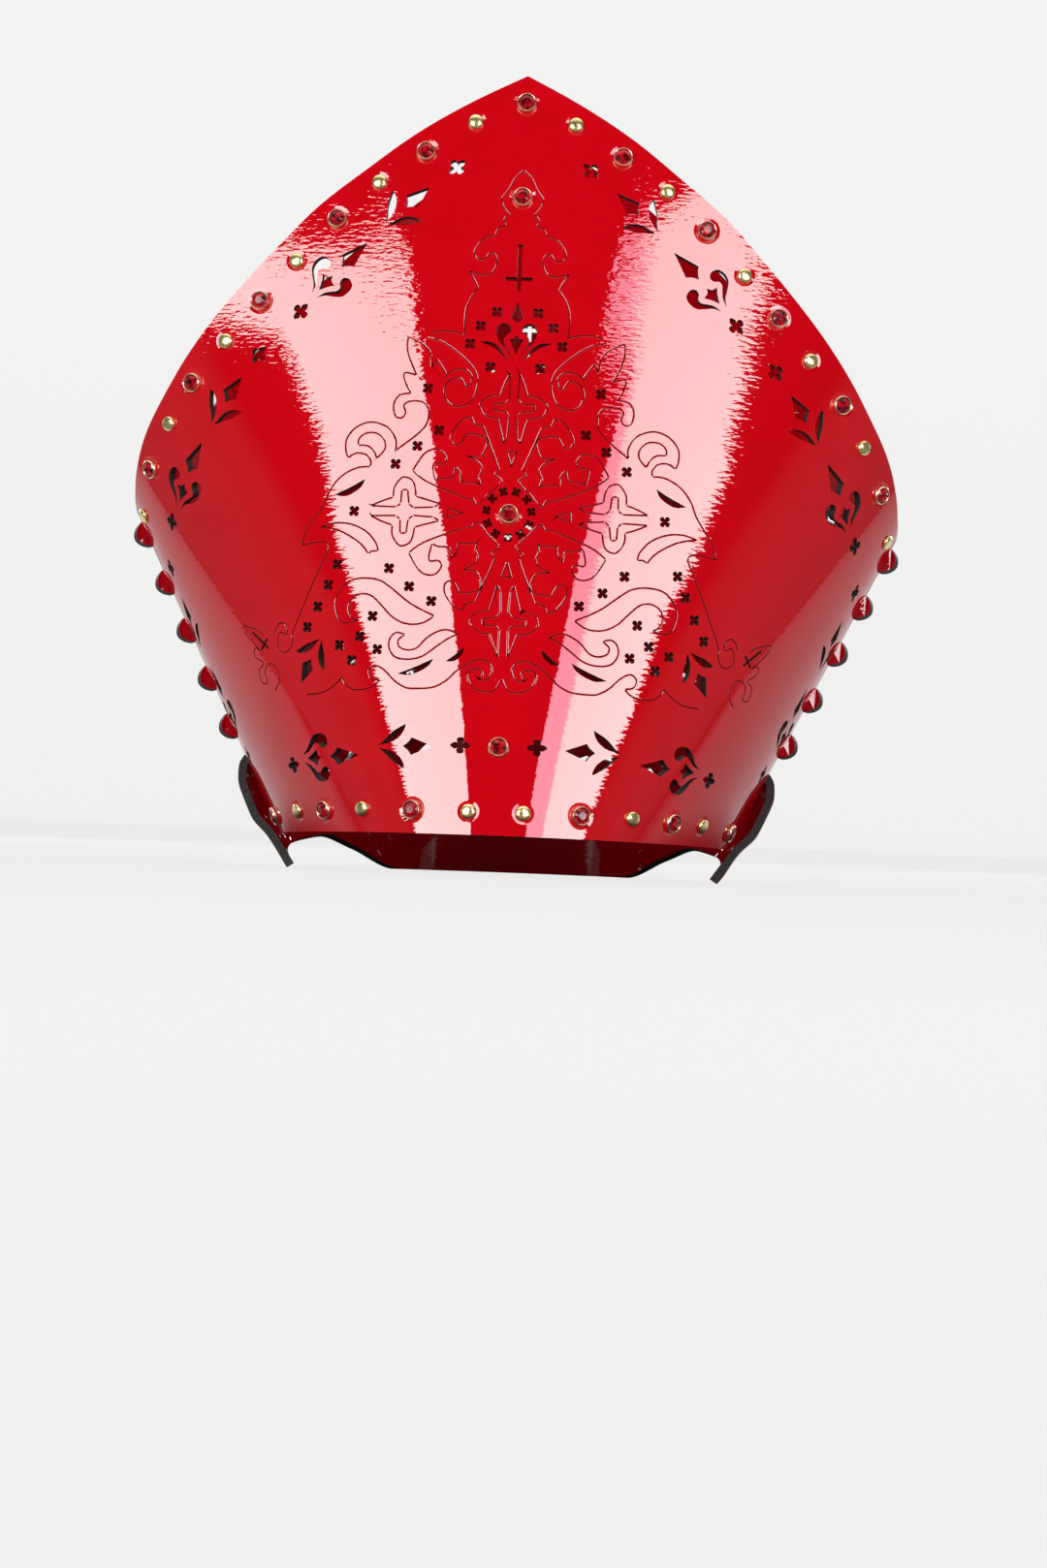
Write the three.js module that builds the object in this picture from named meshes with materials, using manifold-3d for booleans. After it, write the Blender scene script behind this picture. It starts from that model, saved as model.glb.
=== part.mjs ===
// A bishop's mitre: two curved leather panels with tall pointed peaks, open between them.
// Millimetres, +Z up. The front faces -Y, and the floor that the mitre stands on is Z = 0.
import * as THREE from 'three';
import { mergeVertices } from 'three/addons/utils/BufferGeometryUtils.js';
import Module from 'manifold-3d';

const wasm = await Module();
wasm.setup();

// Overall sizes
const PEAK_HEIGHT = 285;
const SHOULDER_HEIGHT = 128;
const BRIM_HEIGHT = 12;
const BRIM_ARCH = 2.5;
const BRIM_HALF_WIDTH = 82.5;
const BRIM_HALF_DEPTH = 97;
const SIDE_SPREAD = 0.494;
const PANEL_LEAN = 0.15;

// Leather: its thickness square to the sheet, and the air between two layers
const LEATHER = 3;
const LAYER_AIR = 0.4;
const SIDE_WALL = LEATHER * Math.hypot(1, SIDE_SPREAD);
const FACE_WALL = LEATHER * Math.hypot(1, PANEL_LEAN);

// Where the panels end at the sides, in degrees round from the middle of the front
const FRONT_WING_TURN = 98;
const BACK_WING_TURN = 86;
const NOTCH_AIR = 0.5;
const NOTCH_HEIGHT = 46;
const CORNER_HEIGHT = 44;
const CORNER_FLARE = 8;
const CORNER_BEND_START = 66;
const CORNER_BEND_END = 88;

// Tabs of the back panel that stand out through slits in the front panel
const TAB_DROP = 7;
const TAB_PITCH = 17.4;
const TAB_COUNT = 5;
const TAB_HALF_LENGTH = 4.9;
const TAB_PROUD = 4.2;
const SLIT_AIR = 0.4;

// Stones in gold cups, and gold dome studs
const JEWEL_RADIUS = 3.5;
const JEWEL_HEIGHT = 2.1;
const JEWEL_SIDES = 8;
const STUD_RADIUS = 2.6;
const STUD_HEIGHT = 1.8;
const STUD_SIDES = 8;
const SEAT_AIR = 0.3;
const EDGE_INSET = 10;
const BRIM_INSET = 8;

// Sizes of the cut-out motifs, head to foot
const QUATREFOIL_LENGTH = 7;
const TREFOIL_LENGTH = 20;
const SCROLL_LENGTH = 26.5;
const FLEUR_LENGTH = 21.5;
const CROSS_LENGTH = 16.8;

// Top edge of each panel: degrees round from the peak, and the rise above the shoulder as a share
// of the way from shoulder to peak
const TOP_EDGE = [
  { turn: 0, rise: 1 },
  { turn: 5.2, rise: 0.936 },
  { turn: 10.5, rise: 0.863 },
  { turn: 16.2, rise: 0.774 },
  { turn: 22, rise: 0.687 },
  { turn: 27.3, rise: 0.599 },
  { turn: 33, rise: 0.512 },
  { turn: 39.1, rise: 0.426 },
  { turn: 45.5, rise: 0.341 },
  { turn: 52.4, rise: 0.257 },
  { turn: 60.8, rise: 0.173 },
  { turn: 70.2, rise: 0.09 },
  { turn: 78, rise: 0.037 },
  { turn: 86, rise: 0.008 },
  { turn: 90, rise: 0 },
  { turn: 94, rise: 0 },
  { turn: 98, rise: 0 },
];

// Lower edge of the back panel: down on the floor behind, arched clear at the sides, and down again
// at the two corner tips. Lifts are shares of the front brim's height.
const BACK_HEM = [
  { turn: 0, lift: 0 },
  { turn: 39.1, lift: 0 },
  { turn: 52.4, lift: 0.58 },
  { turn: 65, lift: 0.96 },
  { turn: 74, lift: 0.83 },
  { turn: 90, lift: 0.17 },
  { turn: 92, lift: 0 },
  { turn: 94, lift: 0 },
];

// Lower corners of the back panel, from the tip up: how far the leather stands out beyond the front
// panel's outer face as a share of the flare, and how many degrees its edge lies ahead of the wing
const CORNER = [
  { up: 0, out: 0.38, ahead: 6 },
  { up: 0.25, out: 0.63, ahead: 3.5 },
  { up: 0.41, out: 1, ahead: 2.5 },
  { up: 0.64, out: 0.94, ahead: 1.5 },
  { up: 0.84, out: 0.5, ahead: 0 },
];

// Jewels and studs along the top edge, from the peak down one side: drops are shares of EDGE_INSET
const EDGE_ROW = [
  { kind: 'jewel', turn: 0, drop: 1 },
  { kind: 'stud', turn: 4.9, drop: 0.8 },
  { kind: 'jewel', turn: 9.9, drop: 0.85 },
  { kind: 'stud', turn: 15, drop: 0.77 },
  { kind: 'jewel', turn: 20.1, drop: 0.92 },
  { kind: 'stud', turn: 25.7, drop: 1.03 },
  { kind: 'jewel', turn: 31.5, drop: 1.06 },
  { kind: 'stud', turn: 38, drop: 1.03 },
  { kind: 'jewel', turn: 45.8, drop: 0.87 },
  { kind: 'stud', turn: 53.7, drop: 0.82 },
  { kind: 'jewel', turn: 63.7, drop: 0.85 },
  { kind: 'stud', turn: 77.1, drop: 0.78 },
];

// Jewels and studs above the lower edge, from the middle to one side: lifts are shares of BRIM_INSET
const BRIM_ROW = [
  { kind: 'stud', turn: 6.2, lift: 1 },
  { kind: 'jewel', turn: 19.5, lift: 1 },
  { kind: 'stud', turn: 32.6, lift: 1 },
  { kind: 'jewel', turn: 44.5, lift: 0.94 },
  { kind: 'stud', turn: 56, lift: 0.9 },
  { kind: 'jewel', turn: 73, lift: 0.75 },
];

// Jewels down the middle. A rise above 0 is a share of the way from shoulder to peak, and one below
// 0 a share of the way down from shoulder to brim.
const MIDDLE_ROW = [{ rise: 0.717 }, { rise: -0.011 }, { rise: -0.715 }];

// Border of cut-outs down one side of the front: the place of each motif, and its heading in degrees
// from straight up the panel, with minus leaning to the middle
const BORDER = [
  { motif: 'quatrefoil', turn: 6.8, rise: 0.783, heading: -47 },
  { motif: 'trefoil', turn: 12.2, rise: 0.69, heading: -46 },
  { motif: 'scroll', turn: 20.6, rise: 0.541, heading: -43 },
  { motif: 'quatrefoil', turn: 26.3, rise: 0.443, heading: -41 },
  { motif: 'quatrefoil', turn: 33.4, rise: 0.344, heading: -37 },
  { motif: 'trefoil', turn: 40.6, rise: 0.24, heading: -33 },
  { motif: 'scroll', turn: 53.6, rise: 0.073, heading: -30 },
  { motif: 'quatrefoil', turn: 63.7, rise: -0.04, heading: -22 },
  { motif: 'quatrefoil', turn: 74, rise: -0.177, heading: -8 },
  { motif: 'trefoil', turn: 76.5, rise: -0.345, heading: -2 },
  { motif: 'scroll', turn: 76.5, rise: -0.586, heading: 2 },
  { motif: 'quatrefoil', turn: 76, rise: -0.754, heading: 4 },
  { motif: 'quatrefoil', turn: 51, rise: -0.786, heading: -82 },
  { motif: 'scroll', turn: 38.8, rise: -0.759, heading: -86 },
  { motif: 'trefoil', turn: 19.4, rise: -0.721, heading: -88 },
  { motif: 'quatrefoil', turn: 7.7, rise: -0.713, heading: -90 },
];

// Crescents in the middle of the front, on one side: place, heading, length and fullness
const CRESCENTS = [
  { turn: 23.3, rise: 0.045, heading: -62, length: 12.5, full: 2.6 },
  { turn: 15.7, rise: -0.479, heading: -66, length: 14, full: 2.4 },
  { turn: 8.4, rise: -0.44, heading: -50, length: 8, full: 2 },
];

// Outlines of the motifs, flat, as shares of each motif's length. Each is drawn with its head up,
// and half-outlines are mirrored.
const QUATREFOIL_HALF = [[0.1, 0.5], [0.114, 0.114], [0.386, 0.1], [0.386, -0.1], [0.114, -0.114], [0.1, -0.5]];
const TREFOIL_KITE_HALF = [[0, 0.51], [0.155, 0.12], [0.065, 0.055], [0, -0.03]];
const TREFOIL_PETAL = [[0.03, -0.49], [0.22, -0.27], [0.39, -0.02], [0.3, -0.01], [0.18, -0.1], [0.08, -0.25]];
const SCROLL_KITE_HALF = [[0, 0.506], [0.117, 0.166], [0.049, 0.102], [0, 0.038]];
const SCROLL_COMMA = [
  [0.045, -0.491], [0.158, -0.347], [0.294, -0.242], [0.313, -0.075], [0.234, -0.008], [0.14, -0.026], [0.121, -0.098], [0.2, -0.204],
  [0.121, -0.34],
];
const SCROLL_SPADE_HALF = [[0, -0.128], [0.034, -0.185], [0.113, -0.204], [0, -0.392]];
const FLEUR_RISE = 0.395;
const FLEUR_KITE_HALF = [[0, 0.591], [0.102, 0.326], [0, 0.228]];
const FLEUR_COMMA = [
  [0.051, -0.381], [0.27, -0.084], [0.335, 0.074], [0.27, 0.209], [0.14, 0.209], [0.084, 0.102], [0.195, 0], [0.195, -0.13],
];
const FLEUR_SPADE_HALF = [[0, 0.028], [0.037, -0.028], [0.112, -0.042], [0.074, -0.13], [0, -0.298]];
const FLEUR_LEAF = [[0.591, -0.093], [0.372, -0.13], [0.233, -0.233], [0.13, -0.409], [0.335, -0.233]];
const CROSS_RISE = 0.554;
const CROSS_HALF = [
  [0, 0.5], [0.048, 0.5], [0.048, -0.202], [0.28, -0.202], [0.28, -0.292], [0.048, -0.292], [0.048, -0.5], [0, -0.5],
];

const GRID_SHARES = [0, 0.4, 1];
const CUT_ABOVE = 3;
const CUT_BELOW = 6;
const SLIT_CUT_BELOW = 5;

// Value of a table column at a place between two rows
function between(table, key, place, column) {
  if (place <= table[0][key]) {
    return table[0][column];
  }
  for (let i = 1; i < table.length; i += 1) {
    if (place <= table[i][key]) {
      const share = (place - table[i - 1][key]) / (table[i][key] - table[i - 1][key]);
      return THREE.MathUtils.lerp(table[i - 1][column], table[i][column], share);
    }
  }
  return table[table.length - 1][column];
}

function halfWidth(height) {
  return BRIM_HALF_WIDTH + SIDE_SPREAD * (height - BRIM_HEIGHT);
}

function halfDepth(height) {
  return BRIM_HALF_DEPTH - PANEL_LEAN * (height - BRIM_HEIGHT);
}

function topEdge(turn) {
  return heightAt(between(TOP_EDGE, 'turn', Math.abs(turn), 'rise'));
}

function heightAt(rise) {
  const span = rise < 0 ? SHOULDER_HEIGHT - BRIM_HEIGHT : PEAK_HEIGHT - SHOULDER_HEIGHT;
  return SHOULDER_HEIGHT + rise * span;
}

function frontHem(turn) {
  return BRIM_HEIGHT + BRIM_ARCH * Math.max(0, Math.cos(THREE.MathUtils.degToRad(turn)));
}

function backHem(turn) {
  return BRIM_HEIGHT * between(BACK_HEM, 'turn', Math.abs(turn), 'lift');
}

// Front panel: a point at a turn from its middle and a height, some way in from the outer face
function frontPoint(turn, height, depth = 0) {
  const angle = THREE.MathUtils.degToRad(turn);
  const across = halfWidth(height) - depth * SIDE_WALL / LEATHER;
  const along = halfDepth(height) - depth * FACE_WALL / LEATHER;
  return new THREE.Vector3(across * Math.sin(angle), -along * Math.cos(angle), height);
}

// Back panel: like the front one, but narrow enough to lie inside it at the sides, with its lower
// corners bent outwards
function backPoint(turn, height, depth = 0) {
  const plainEdge = 180 - BACK_WING_TURN;
  const inside = -SIDE_WALL - LAYER_AIR;
  const rows = [...CORNER, { up: 1, out: inside / CORNER_FLARE, ahead: 0 }];
  const ahead = between(rows, 'up', height / CORNER_HEIGHT, 'ahead');
  const flare = CORNER_FLARE * between(rows, 'up', height / CORNER_HEIGHT, 'out');
  const bend = THREE.MathUtils.smoothstep(Math.abs(turn), CORNER_BEND_START, CORNER_BEND_END);
  const stretch = Math.abs(turn) < CORNER_BEND_START ? 0
    : (Math.abs(turn) - CORNER_BEND_START) / (plainEdge - CORNER_BEND_START);
  const angle = THREE.MathUtils.degToRad(turn + Math.sign(turn) * stretch * ahead);
  const out = THREE.MathUtils.lerp(inside, flare, bend);
  const across = halfWidth(height) + out - depth * SIDE_WALL / LEATHER;
  const along = halfDepth(height) - depth * FACE_WALL / LEATHER;
  return new THREE.Vector3(-across * Math.sin(angle), along * Math.cos(angle), height);
}

// Directions on a panel at one place: along it level, up it, and out of it
function directions(point, turn, height) {
  const step = 0.05;
  const level = point(turn + step, height).sub(point(turn - step, height)).divideScalar(2 * step);
  const upward = point(turn, height + step).sub(point(turn, height - step)).divideScalar(2 * step);
  const side = level.clone().normalize();
  const out = new THREE.Vector3().crossVectors(level, upward).normalize();
  const rise = new THREE.Vector3().crossVectors(out, side).normalize();
  return { level, upward, side, out, rise };
}

// Place on a panel that lies u along and v up from an anchor, measured over the leather
function over(point, anchor, u, v) {
  const { level, upward, side, rise } = directions(point, anchor.turn, anchor.height);
  const climb = v / upward.dot(rise);
  const swing = (u - climb * upward.dot(side)) / level.length();
  return { turn: anchor.turn + swing, height: anchor.height + climb };
}

// Closed mesh from two rings of points that face each other, with their flat outline's triangles
function meshBetween(outline, upper, lower) {
  const contour = outline.map(([x, y]) => new THREE.Vector2(x, y));
  const count = contour.length;
  const faces = THREE.ShapeUtils.triangulateShape(contour, []);
  const positions = [...upper, ...lower].flatMap((p) => [p.x, p.y, p.z]);
  const index = [];
  for (const [a, b, c] of faces) {
    index.push(a, b, c, count + c, count + b, count + a);
  }
  for (let i = 0; i < count; i += 1) {
    const next = (i + 1) % count;
    index.push(i, count + i, count + next, i, count + next, next);
  }
  return { positions, index };
}

function solid(positions, index) {
  return new wasm.Manifold(new wasm.Mesh({
    numProp: 3,
    vertProperties: Float32Array.from(positions),
    triVerts: Uint32Array.from(index),
  }));
}

function solidFromGeometry(geometry) {
  geometry.deleteAttribute('normal');
  geometry.deleteAttribute('uv');
  const merged = mergeVertices(geometry, 1e-4);
  return solid(merged.attributes.position.array, merged.index.array);
}

function geometryFromSolid(body) {
  const mesh = body.getMesh();
  const geometry = new THREE.BufferGeometry();
  geometry.setAttribute('position', new THREE.BufferAttribute(mesh.vertProperties, 3));
  geometry.setIndex(new THREE.BufferAttribute(mesh.triVerts, 1));
  geometry.computeVertexNormals();
  return geometry;
}

// Curved wall between an outer and an inner face, from a hem up to the top edge
function panelSolid(point, turns, heights) {
  const columns = turns.length;
  const rows = heights(turns[0]).length;
  const positions = [];
  for (const depth of [0, LEATHER]) {
    for (const turn of turns) {
      for (const height of heights(turn)) {
        positions.push(...point(turn, height, depth).toArray());
      }
    }
  }
  const at = (layer, column, row) => layer * columns * rows + column * rows + row;
  const index = [];
  const quad = (a, b, c, d) => index.push(a, b, c, a, c, d);
  for (let i = 0; i < columns - 1; i += 1) {
    for (let j = 0; j < rows - 1; j += 1) {
      quad(at(0, i, j), at(0, i + 1, j), at(0, i + 1, j + 1), at(0, i, j + 1));
      quad(at(1, i, j), at(1, i, j + 1), at(1, i + 1, j + 1), at(1, i + 1, j));
    }
    quad(at(0, i, 0), at(1, i, 0), at(1, i + 1, 0), at(0, i + 1, 0));
    quad(at(0, i, rows - 1), at(0, i + 1, rows - 1), at(1, i + 1, rows - 1), at(1, i, rows - 1));
  }
  for (let j = 0; j < rows - 1; j += 1) {
    quad(at(0, 0, j), at(0, 0, j + 1), at(1, 0, j + 1), at(1, 0, j));
    quad(at(0, columns - 1, j), at(1, columns - 1, j), at(1, columns - 1, j + 1), at(0, columns - 1, j + 1));
  }
  return solid(positions, index);
}

// Tool that cuts a flat outline through a panel, bent to lie on it
function cutter(point, anchor, outline, heading) {
  const lean = THREE.MathUtils.degToRad(heading);
  const upper = [];
  const lower = [];
  for (const [x, y] of outline) {
    const u = x * Math.cos(lean) + y * Math.sin(lean);
    const v = y * Math.cos(lean) - x * Math.sin(lean);
    const place = over(point, anchor, u, v);
    const spot = point(place.turn, place.height);
    const { out } = directions(point, place.turn, place.height);
    upper.push(spot.clone().addScaledVector(out, CUT_ABOVE));
    lower.push(spot.clone().addScaledVector(out, -CUT_BELOW));
  }
  const { positions, index } = meshBetween(outline, upper, lower);
  return solid(positions, index);
}

function flipped(outline) {
  return outline.map(([x, y]) => [-x, y]).reverse();
}

// Whole outline, anticlockwise, from the half at x >= 0 listed from the top down
function whole(half) {
  const left = half.map(([x, y]) => [-x, y]);
  const right = half.slice().reverse().filter(([x], i, rows) => x > 0 || (i > 0 && i < rows.length - 1));
  return [...left, ...right];
}

function anticlockwise(outline) {
  const area = THREE.ShapeUtils.area(outline.map(([x, y]) => new THREE.Vector2(x, y)));
  return area > 0 ? outline : outline.slice().reverse();
}

const MOTIFS = {
  quatrefoil: { length: QUATREFOIL_LENGTH, parts: [whole(QUATREFOIL_HALF)] },
  trefoil: {
    length: TREFOIL_LENGTH,
    parts: [whole(TREFOIL_KITE_HALF), TREFOIL_PETAL, flipped(TREFOIL_PETAL)],
  },
  scroll: {
    length: SCROLL_LENGTH,
    parts: [whole(SCROLL_KITE_HALF), SCROLL_COMMA, flipped(SCROLL_COMMA), whole(SCROLL_SPADE_HALF)],
  },
  fleur: {
    length: FLEUR_LENGTH,
    parts: [
      whole(FLEUR_KITE_HALF), FLEUR_COMMA, flipped(FLEUR_COMMA), whole(FLEUR_SPADE_HALF),
      FLEUR_LEAF, flipped(FLEUR_LEAF),
    ],
  },
  cross: { length: CROSS_LENGTH, parts: [whole(CROSS_HALF)] },
};

function crescentOutline(length, full) {
  return [
    [0, -length / 2], [full * 0.9, -length / 6], [full * 0.8, length / 4], [0, length / 2], [0, 0],
  ];
}

function motifCutters(anchor, motif, heading) {
  const { length, parts } = MOTIFS[motif];
  return parts.map((part) => {
    const outline = part.map(([x, y]) => [x * length, y * length]);
    return cutter(frontPoint, anchor, anticlockwise(outline), heading);
  });
}

function bothSides(row) {
  return row.turn === 0 ? [1] : [-1, 1];
}

// Panel grid columns, the same on both sides of the middle
function mirroredTurns(limit) {
  const turns = TOP_EDGE.map((row) => row.turn).filter((turn) => turn < limit - 1);
  const half = [...turns, limit];
  return [...half.slice(1).map((turn) => -turn).reverse(), ...half];
}

function tabFrame(side, height) {
  const wing = side * (180 - BACK_WING_TURN);
  const root = frontPoint(-side * BACK_WING_TURN, height);
  const { out, rise } = directions(backPoint, wing, height);
  const outward = new THREE.Vector3(out.x, 0, out.z).normalize();
  const upward = new THREE.Vector3(rise.x, 0, rise.z).normalize();
  return { root, outward, upward };
}

// Flat plate that stands square to the side of the mitre, its outline in steps up and out
function plateSolid(frame, outline, front, back) {
  const spot = (y) => ([up, out]) => frame.root.clone()
    .addScaledVector(frame.upward, up)
    .addScaledVector(frame.outward, out)
    .setY(y);
  const { positions, index } = meshBetween(outline, outline.map(spot(front)), outline.map(spot(back)));
  return solid(positions, index);
}

const TAB_OUTLINE = [
  [TAB_HALF_LENGTH, -SIDE_WALL * 2], [TAB_HALF_LENGTH, 0.2], [3.4, TAB_PROUD * 0.55], [1.4, TAB_PROUD * 0.92],
  [-0.6, TAB_PROUD], [-3.2, TAB_PROUD * 0.62], [-TAB_HALF_LENGTH, 0.2], [-TAB_HALF_LENGTH, -SIDE_WALL * 2],
];
const SLIT_OUTLINE = [
  [TAB_HALF_LENGTH + SLIT_AIR, -SLIT_CUT_BELOW], [TAB_HALF_LENGTH + SLIT_AIR, CUT_ABOVE],
  [-TAB_HALF_LENGTH - SLIT_AIR, CUT_ABOVE], [-TAB_HALF_LENGTH - SLIT_AIR, -SLIT_CUT_BELOW],
];

function tabHeights() {
  return Array.from({ length: TAB_COUNT }, (_, i) => SHOULDER_HEIGHT - TAB_DROP - i * TAB_PITCH);
}

// A ring order that faces out, whichever side of the mitre the plate is on
function platePair(side, height, outline, front, back) {
  const frame = tabFrame(side, height);
  return side > 0 ? plateSolid(frame, outline, front, back) : plateSolid(frame, outline, back, front);
}

function frontPanel() {
  const heights = (turn) => GRID_SHARES.map((share) => THREE.MathUtils.lerp(frontHem(turn), topEdge(turn), share));
  let panel = panelSolid(frontPoint, mirroredTurns(FRONT_WING_TURN), heights);
  const cuts = [];
  for (const row of BORDER) {
    for (const side of bothSides(row)) {
      const anchor = { turn: side * row.turn, height: heightAt(row.rise) };
      cuts.push(...motifCutters(anchor, row.motif, side * row.heading));
    }
  }
  for (const row of CRESCENTS) {
    for (const side of bothSides(row)) {
      const outline = crescentOutline(row.length, row.full).map(([x, y]) => [-side * x, y]);
      const anchor = { turn: side * row.turn, height: heightAt(row.rise) };
      cuts.push(cutter(frontPoint, anchor, anticlockwise(outline), side * row.heading));
    }
  }
  cuts.push(...motifCutters({ turn: 0, height: heightAt(FLEUR_RISE) }, 'fleur', 0));
  cuts.push(...motifCutters({ turn: 0, height: heightAt(CROSS_RISE) }, 'cross', 0));
  for (const side of [-1, 1]) {
    for (const height of tabHeights()) {
      const front = frontPoint(BACK_WING_TURN, height).y;
      cuts.push(platePair(side, height, SLIT_OUTLINE, front - SLIT_AIR, front + LEATHER + SLIT_AIR));
    }
  }
  const notchFront = frontPoint(BACK_WING_TURN, BRIM_HEIGHT).y - NOTCH_AIR;
  const notch = new THREE.BoxGeometry(4 * BRIM_HALF_WIDTH, 4 * BRIM_HALF_DEPTH, 2 * NOTCH_HEIGHT);
  notch.translate(0, notchFront + 2 * BRIM_HALF_DEPTH, 0);
  cuts.push(solidFromGeometry(notch));
  for (const cut of cuts) {
    panel = panel.subtract(cut);
  }
  return geometryFromSolid(panel);
}

function backPanel() {
  const corner = [...CORNER.map((row) => row.up), 1];
  const heights = (turn) => {
    const hem = backHem(turn);
    const lower = corner.map((share) => THREE.MathUtils.lerp(hem, CORNER_HEIGHT, share));
    const upper = GRID_SHARES.slice(1).map((share) => THREE.MathUtils.lerp(CORNER_HEIGHT, topEdge(turn), share));
    return [...lower, ...upper];
  };
  const turns = mirroredTurns(180 - BACK_WING_TURN);
  let panel = panelSolid(backPoint, turns, heights);
  for (const side of [-1, 1]) {
    for (const height of tabHeights()) {
      const front = frontPoint(BACK_WING_TURN, height).y;
      panel = panel.add(platePair(side, height, TAB_OUTLINE, front, front + LEATHER));
    }
  }
  return geometryFromSolid(panel);
}

// Cut stone with a table and eight facets, in a plain gold cup
function jewelGeometry() {
  const r = JEWEL_RADIUS;
  const h = JEWEL_HEIGHT;
  const profile = [[0, 0], [r, 0], [r * 0.96, h * 0.6], [r * 0.74, h * 0.66], [r * 0.42, h], [0, h]];
  return new THREE.LatheGeometry(profile.map(([x, y]) => new THREE.Vector2(x, y)), JEWEL_SIDES);
}

function studGeometry() {
  const r = STUD_RADIUS;
  const h = STUD_HEIGHT;
  const profile = [[0, 0], [r, 0], [r * 0.68, h * 0.75], [0, h]];
  return new THREE.LatheGeometry(profile.map(([x, y]) => new THREE.Vector2(x, y)), STUD_SIDES);
}

const patent = new THREE.MeshStandardMaterial({ color: 0xca0015, roughness: 0.08, metalness: 0 });
const patentBack = new THREE.MeshStandardMaterial({ color: 0xb80014, roughness: 0.1, metalness: 0 });
const stone = new THREE.MeshStandardMaterial({ color: 0x7a0012, roughness: 0.05, metalness: 0.2 });
const gold = new THREE.MeshStandardMaterial({ color: 0xe0b84a, roughness: 0.2, metalness: 1 });

const mitre = new THREE.Group();

function addMesh(name, geometry, material) {
  const mesh = new THREE.Mesh(geometry, material.clone());
  mesh.name = name;
  mitre.add(mesh);
  return mesh;
}

// Trim seated on a panel, square to the leather with a hair of air under it
function addTrim(name, geometry, material, point, turn, height) {
  const mesh = addMesh(name, geometry, material);
  const { out } = directions(point, turn, height);
  mesh.position.copy(point(turn, height)).addScaledVector(out, SEAT_AIR);
  mesh.quaternion.setFromUnitVectors(new THREE.Vector3(0, 1, 0), out);
}

function addPanelTrim(prefix, point, hem, withStuds) {
  let jewel = 0;
  let stud = 0;
  const place = (kind, turn, height) => {
    if (kind === 'jewel') {
      jewel += 1;
      addTrim(`${prefix}_jewel_${jewel}`, jewelGeometry(), stone, point, turn, height);
    } else if (withStuds) {
      stud += 1;
      addTrim(`${prefix}_stud_${stud}`, studGeometry(), gold, point, turn, height);
    }
  };
  for (const row of EDGE_ROW) {
    for (const side of bothSides(row)) {
      place(row.kind, side * row.turn, topEdge(row.turn) - EDGE_INSET * row.drop);
    }
  }
  for (const row of BRIM_ROW) {
    for (const side of bothSides(row)) {
      place(row.kind, side * row.turn, hem(row.turn) + BRIM_INSET * row.lift);
    }
  }
  for (const row of MIDDLE_ROW) {
    place('jewel', 0, heightAt(row.rise));
  }
}

addMesh('front_panel', frontPanel(), patent);
addMesh('back_panel', backPanel(), patentBack);
addPanelTrim('front', frontPoint, frontHem, true);
addPanelTrim('back', backPoint, backHem, false);

// The origin lies at the middle of the foot print
const extent = new THREE.Box3().setFromObject(mitre, true);
mitre.position.y = -(extent.min.y + extent.max.y) / 2;

export default mitre;
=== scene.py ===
from math import asin, atan, copysign, cos, degrees, hypot, pi, radians, sin
import bmesh
import bpy
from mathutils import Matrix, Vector
from mathutils.bvhtree import BVHTree


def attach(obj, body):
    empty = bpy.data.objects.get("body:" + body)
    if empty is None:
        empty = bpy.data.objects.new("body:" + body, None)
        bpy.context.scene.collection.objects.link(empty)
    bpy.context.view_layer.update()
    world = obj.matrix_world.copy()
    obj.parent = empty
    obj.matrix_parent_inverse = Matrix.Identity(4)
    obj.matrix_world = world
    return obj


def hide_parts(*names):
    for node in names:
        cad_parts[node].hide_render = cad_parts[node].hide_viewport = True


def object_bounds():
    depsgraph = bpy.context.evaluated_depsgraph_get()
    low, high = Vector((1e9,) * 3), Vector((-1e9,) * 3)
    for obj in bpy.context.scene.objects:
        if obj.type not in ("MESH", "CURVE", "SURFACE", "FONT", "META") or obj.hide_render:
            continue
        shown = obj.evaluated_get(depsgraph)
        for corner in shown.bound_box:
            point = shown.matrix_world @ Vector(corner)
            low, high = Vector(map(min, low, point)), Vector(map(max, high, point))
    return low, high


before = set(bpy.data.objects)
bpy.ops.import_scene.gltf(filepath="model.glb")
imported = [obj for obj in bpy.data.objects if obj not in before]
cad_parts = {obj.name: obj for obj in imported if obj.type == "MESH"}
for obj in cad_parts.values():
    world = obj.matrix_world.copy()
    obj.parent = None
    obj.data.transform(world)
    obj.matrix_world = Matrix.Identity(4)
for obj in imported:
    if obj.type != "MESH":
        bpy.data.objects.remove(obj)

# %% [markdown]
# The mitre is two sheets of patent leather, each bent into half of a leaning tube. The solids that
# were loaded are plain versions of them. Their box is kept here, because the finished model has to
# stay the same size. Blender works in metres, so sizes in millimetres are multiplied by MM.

CAD_BOX = [list(corner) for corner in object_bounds()]
MM = 0.001
print("box", CAD_BOX)

# %% [markdown]
# Every shape on the mitre follows from a few sizes. The cut across the hat is an oval at each
# height: wide at the top and narrow at the brim from the front, and the other way round from the
# side. Tables hold the outline of the top edge and of the lower edge, and a smooth curve is drawn
# through their rows, because leather has no corners where a table has rows.

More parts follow.
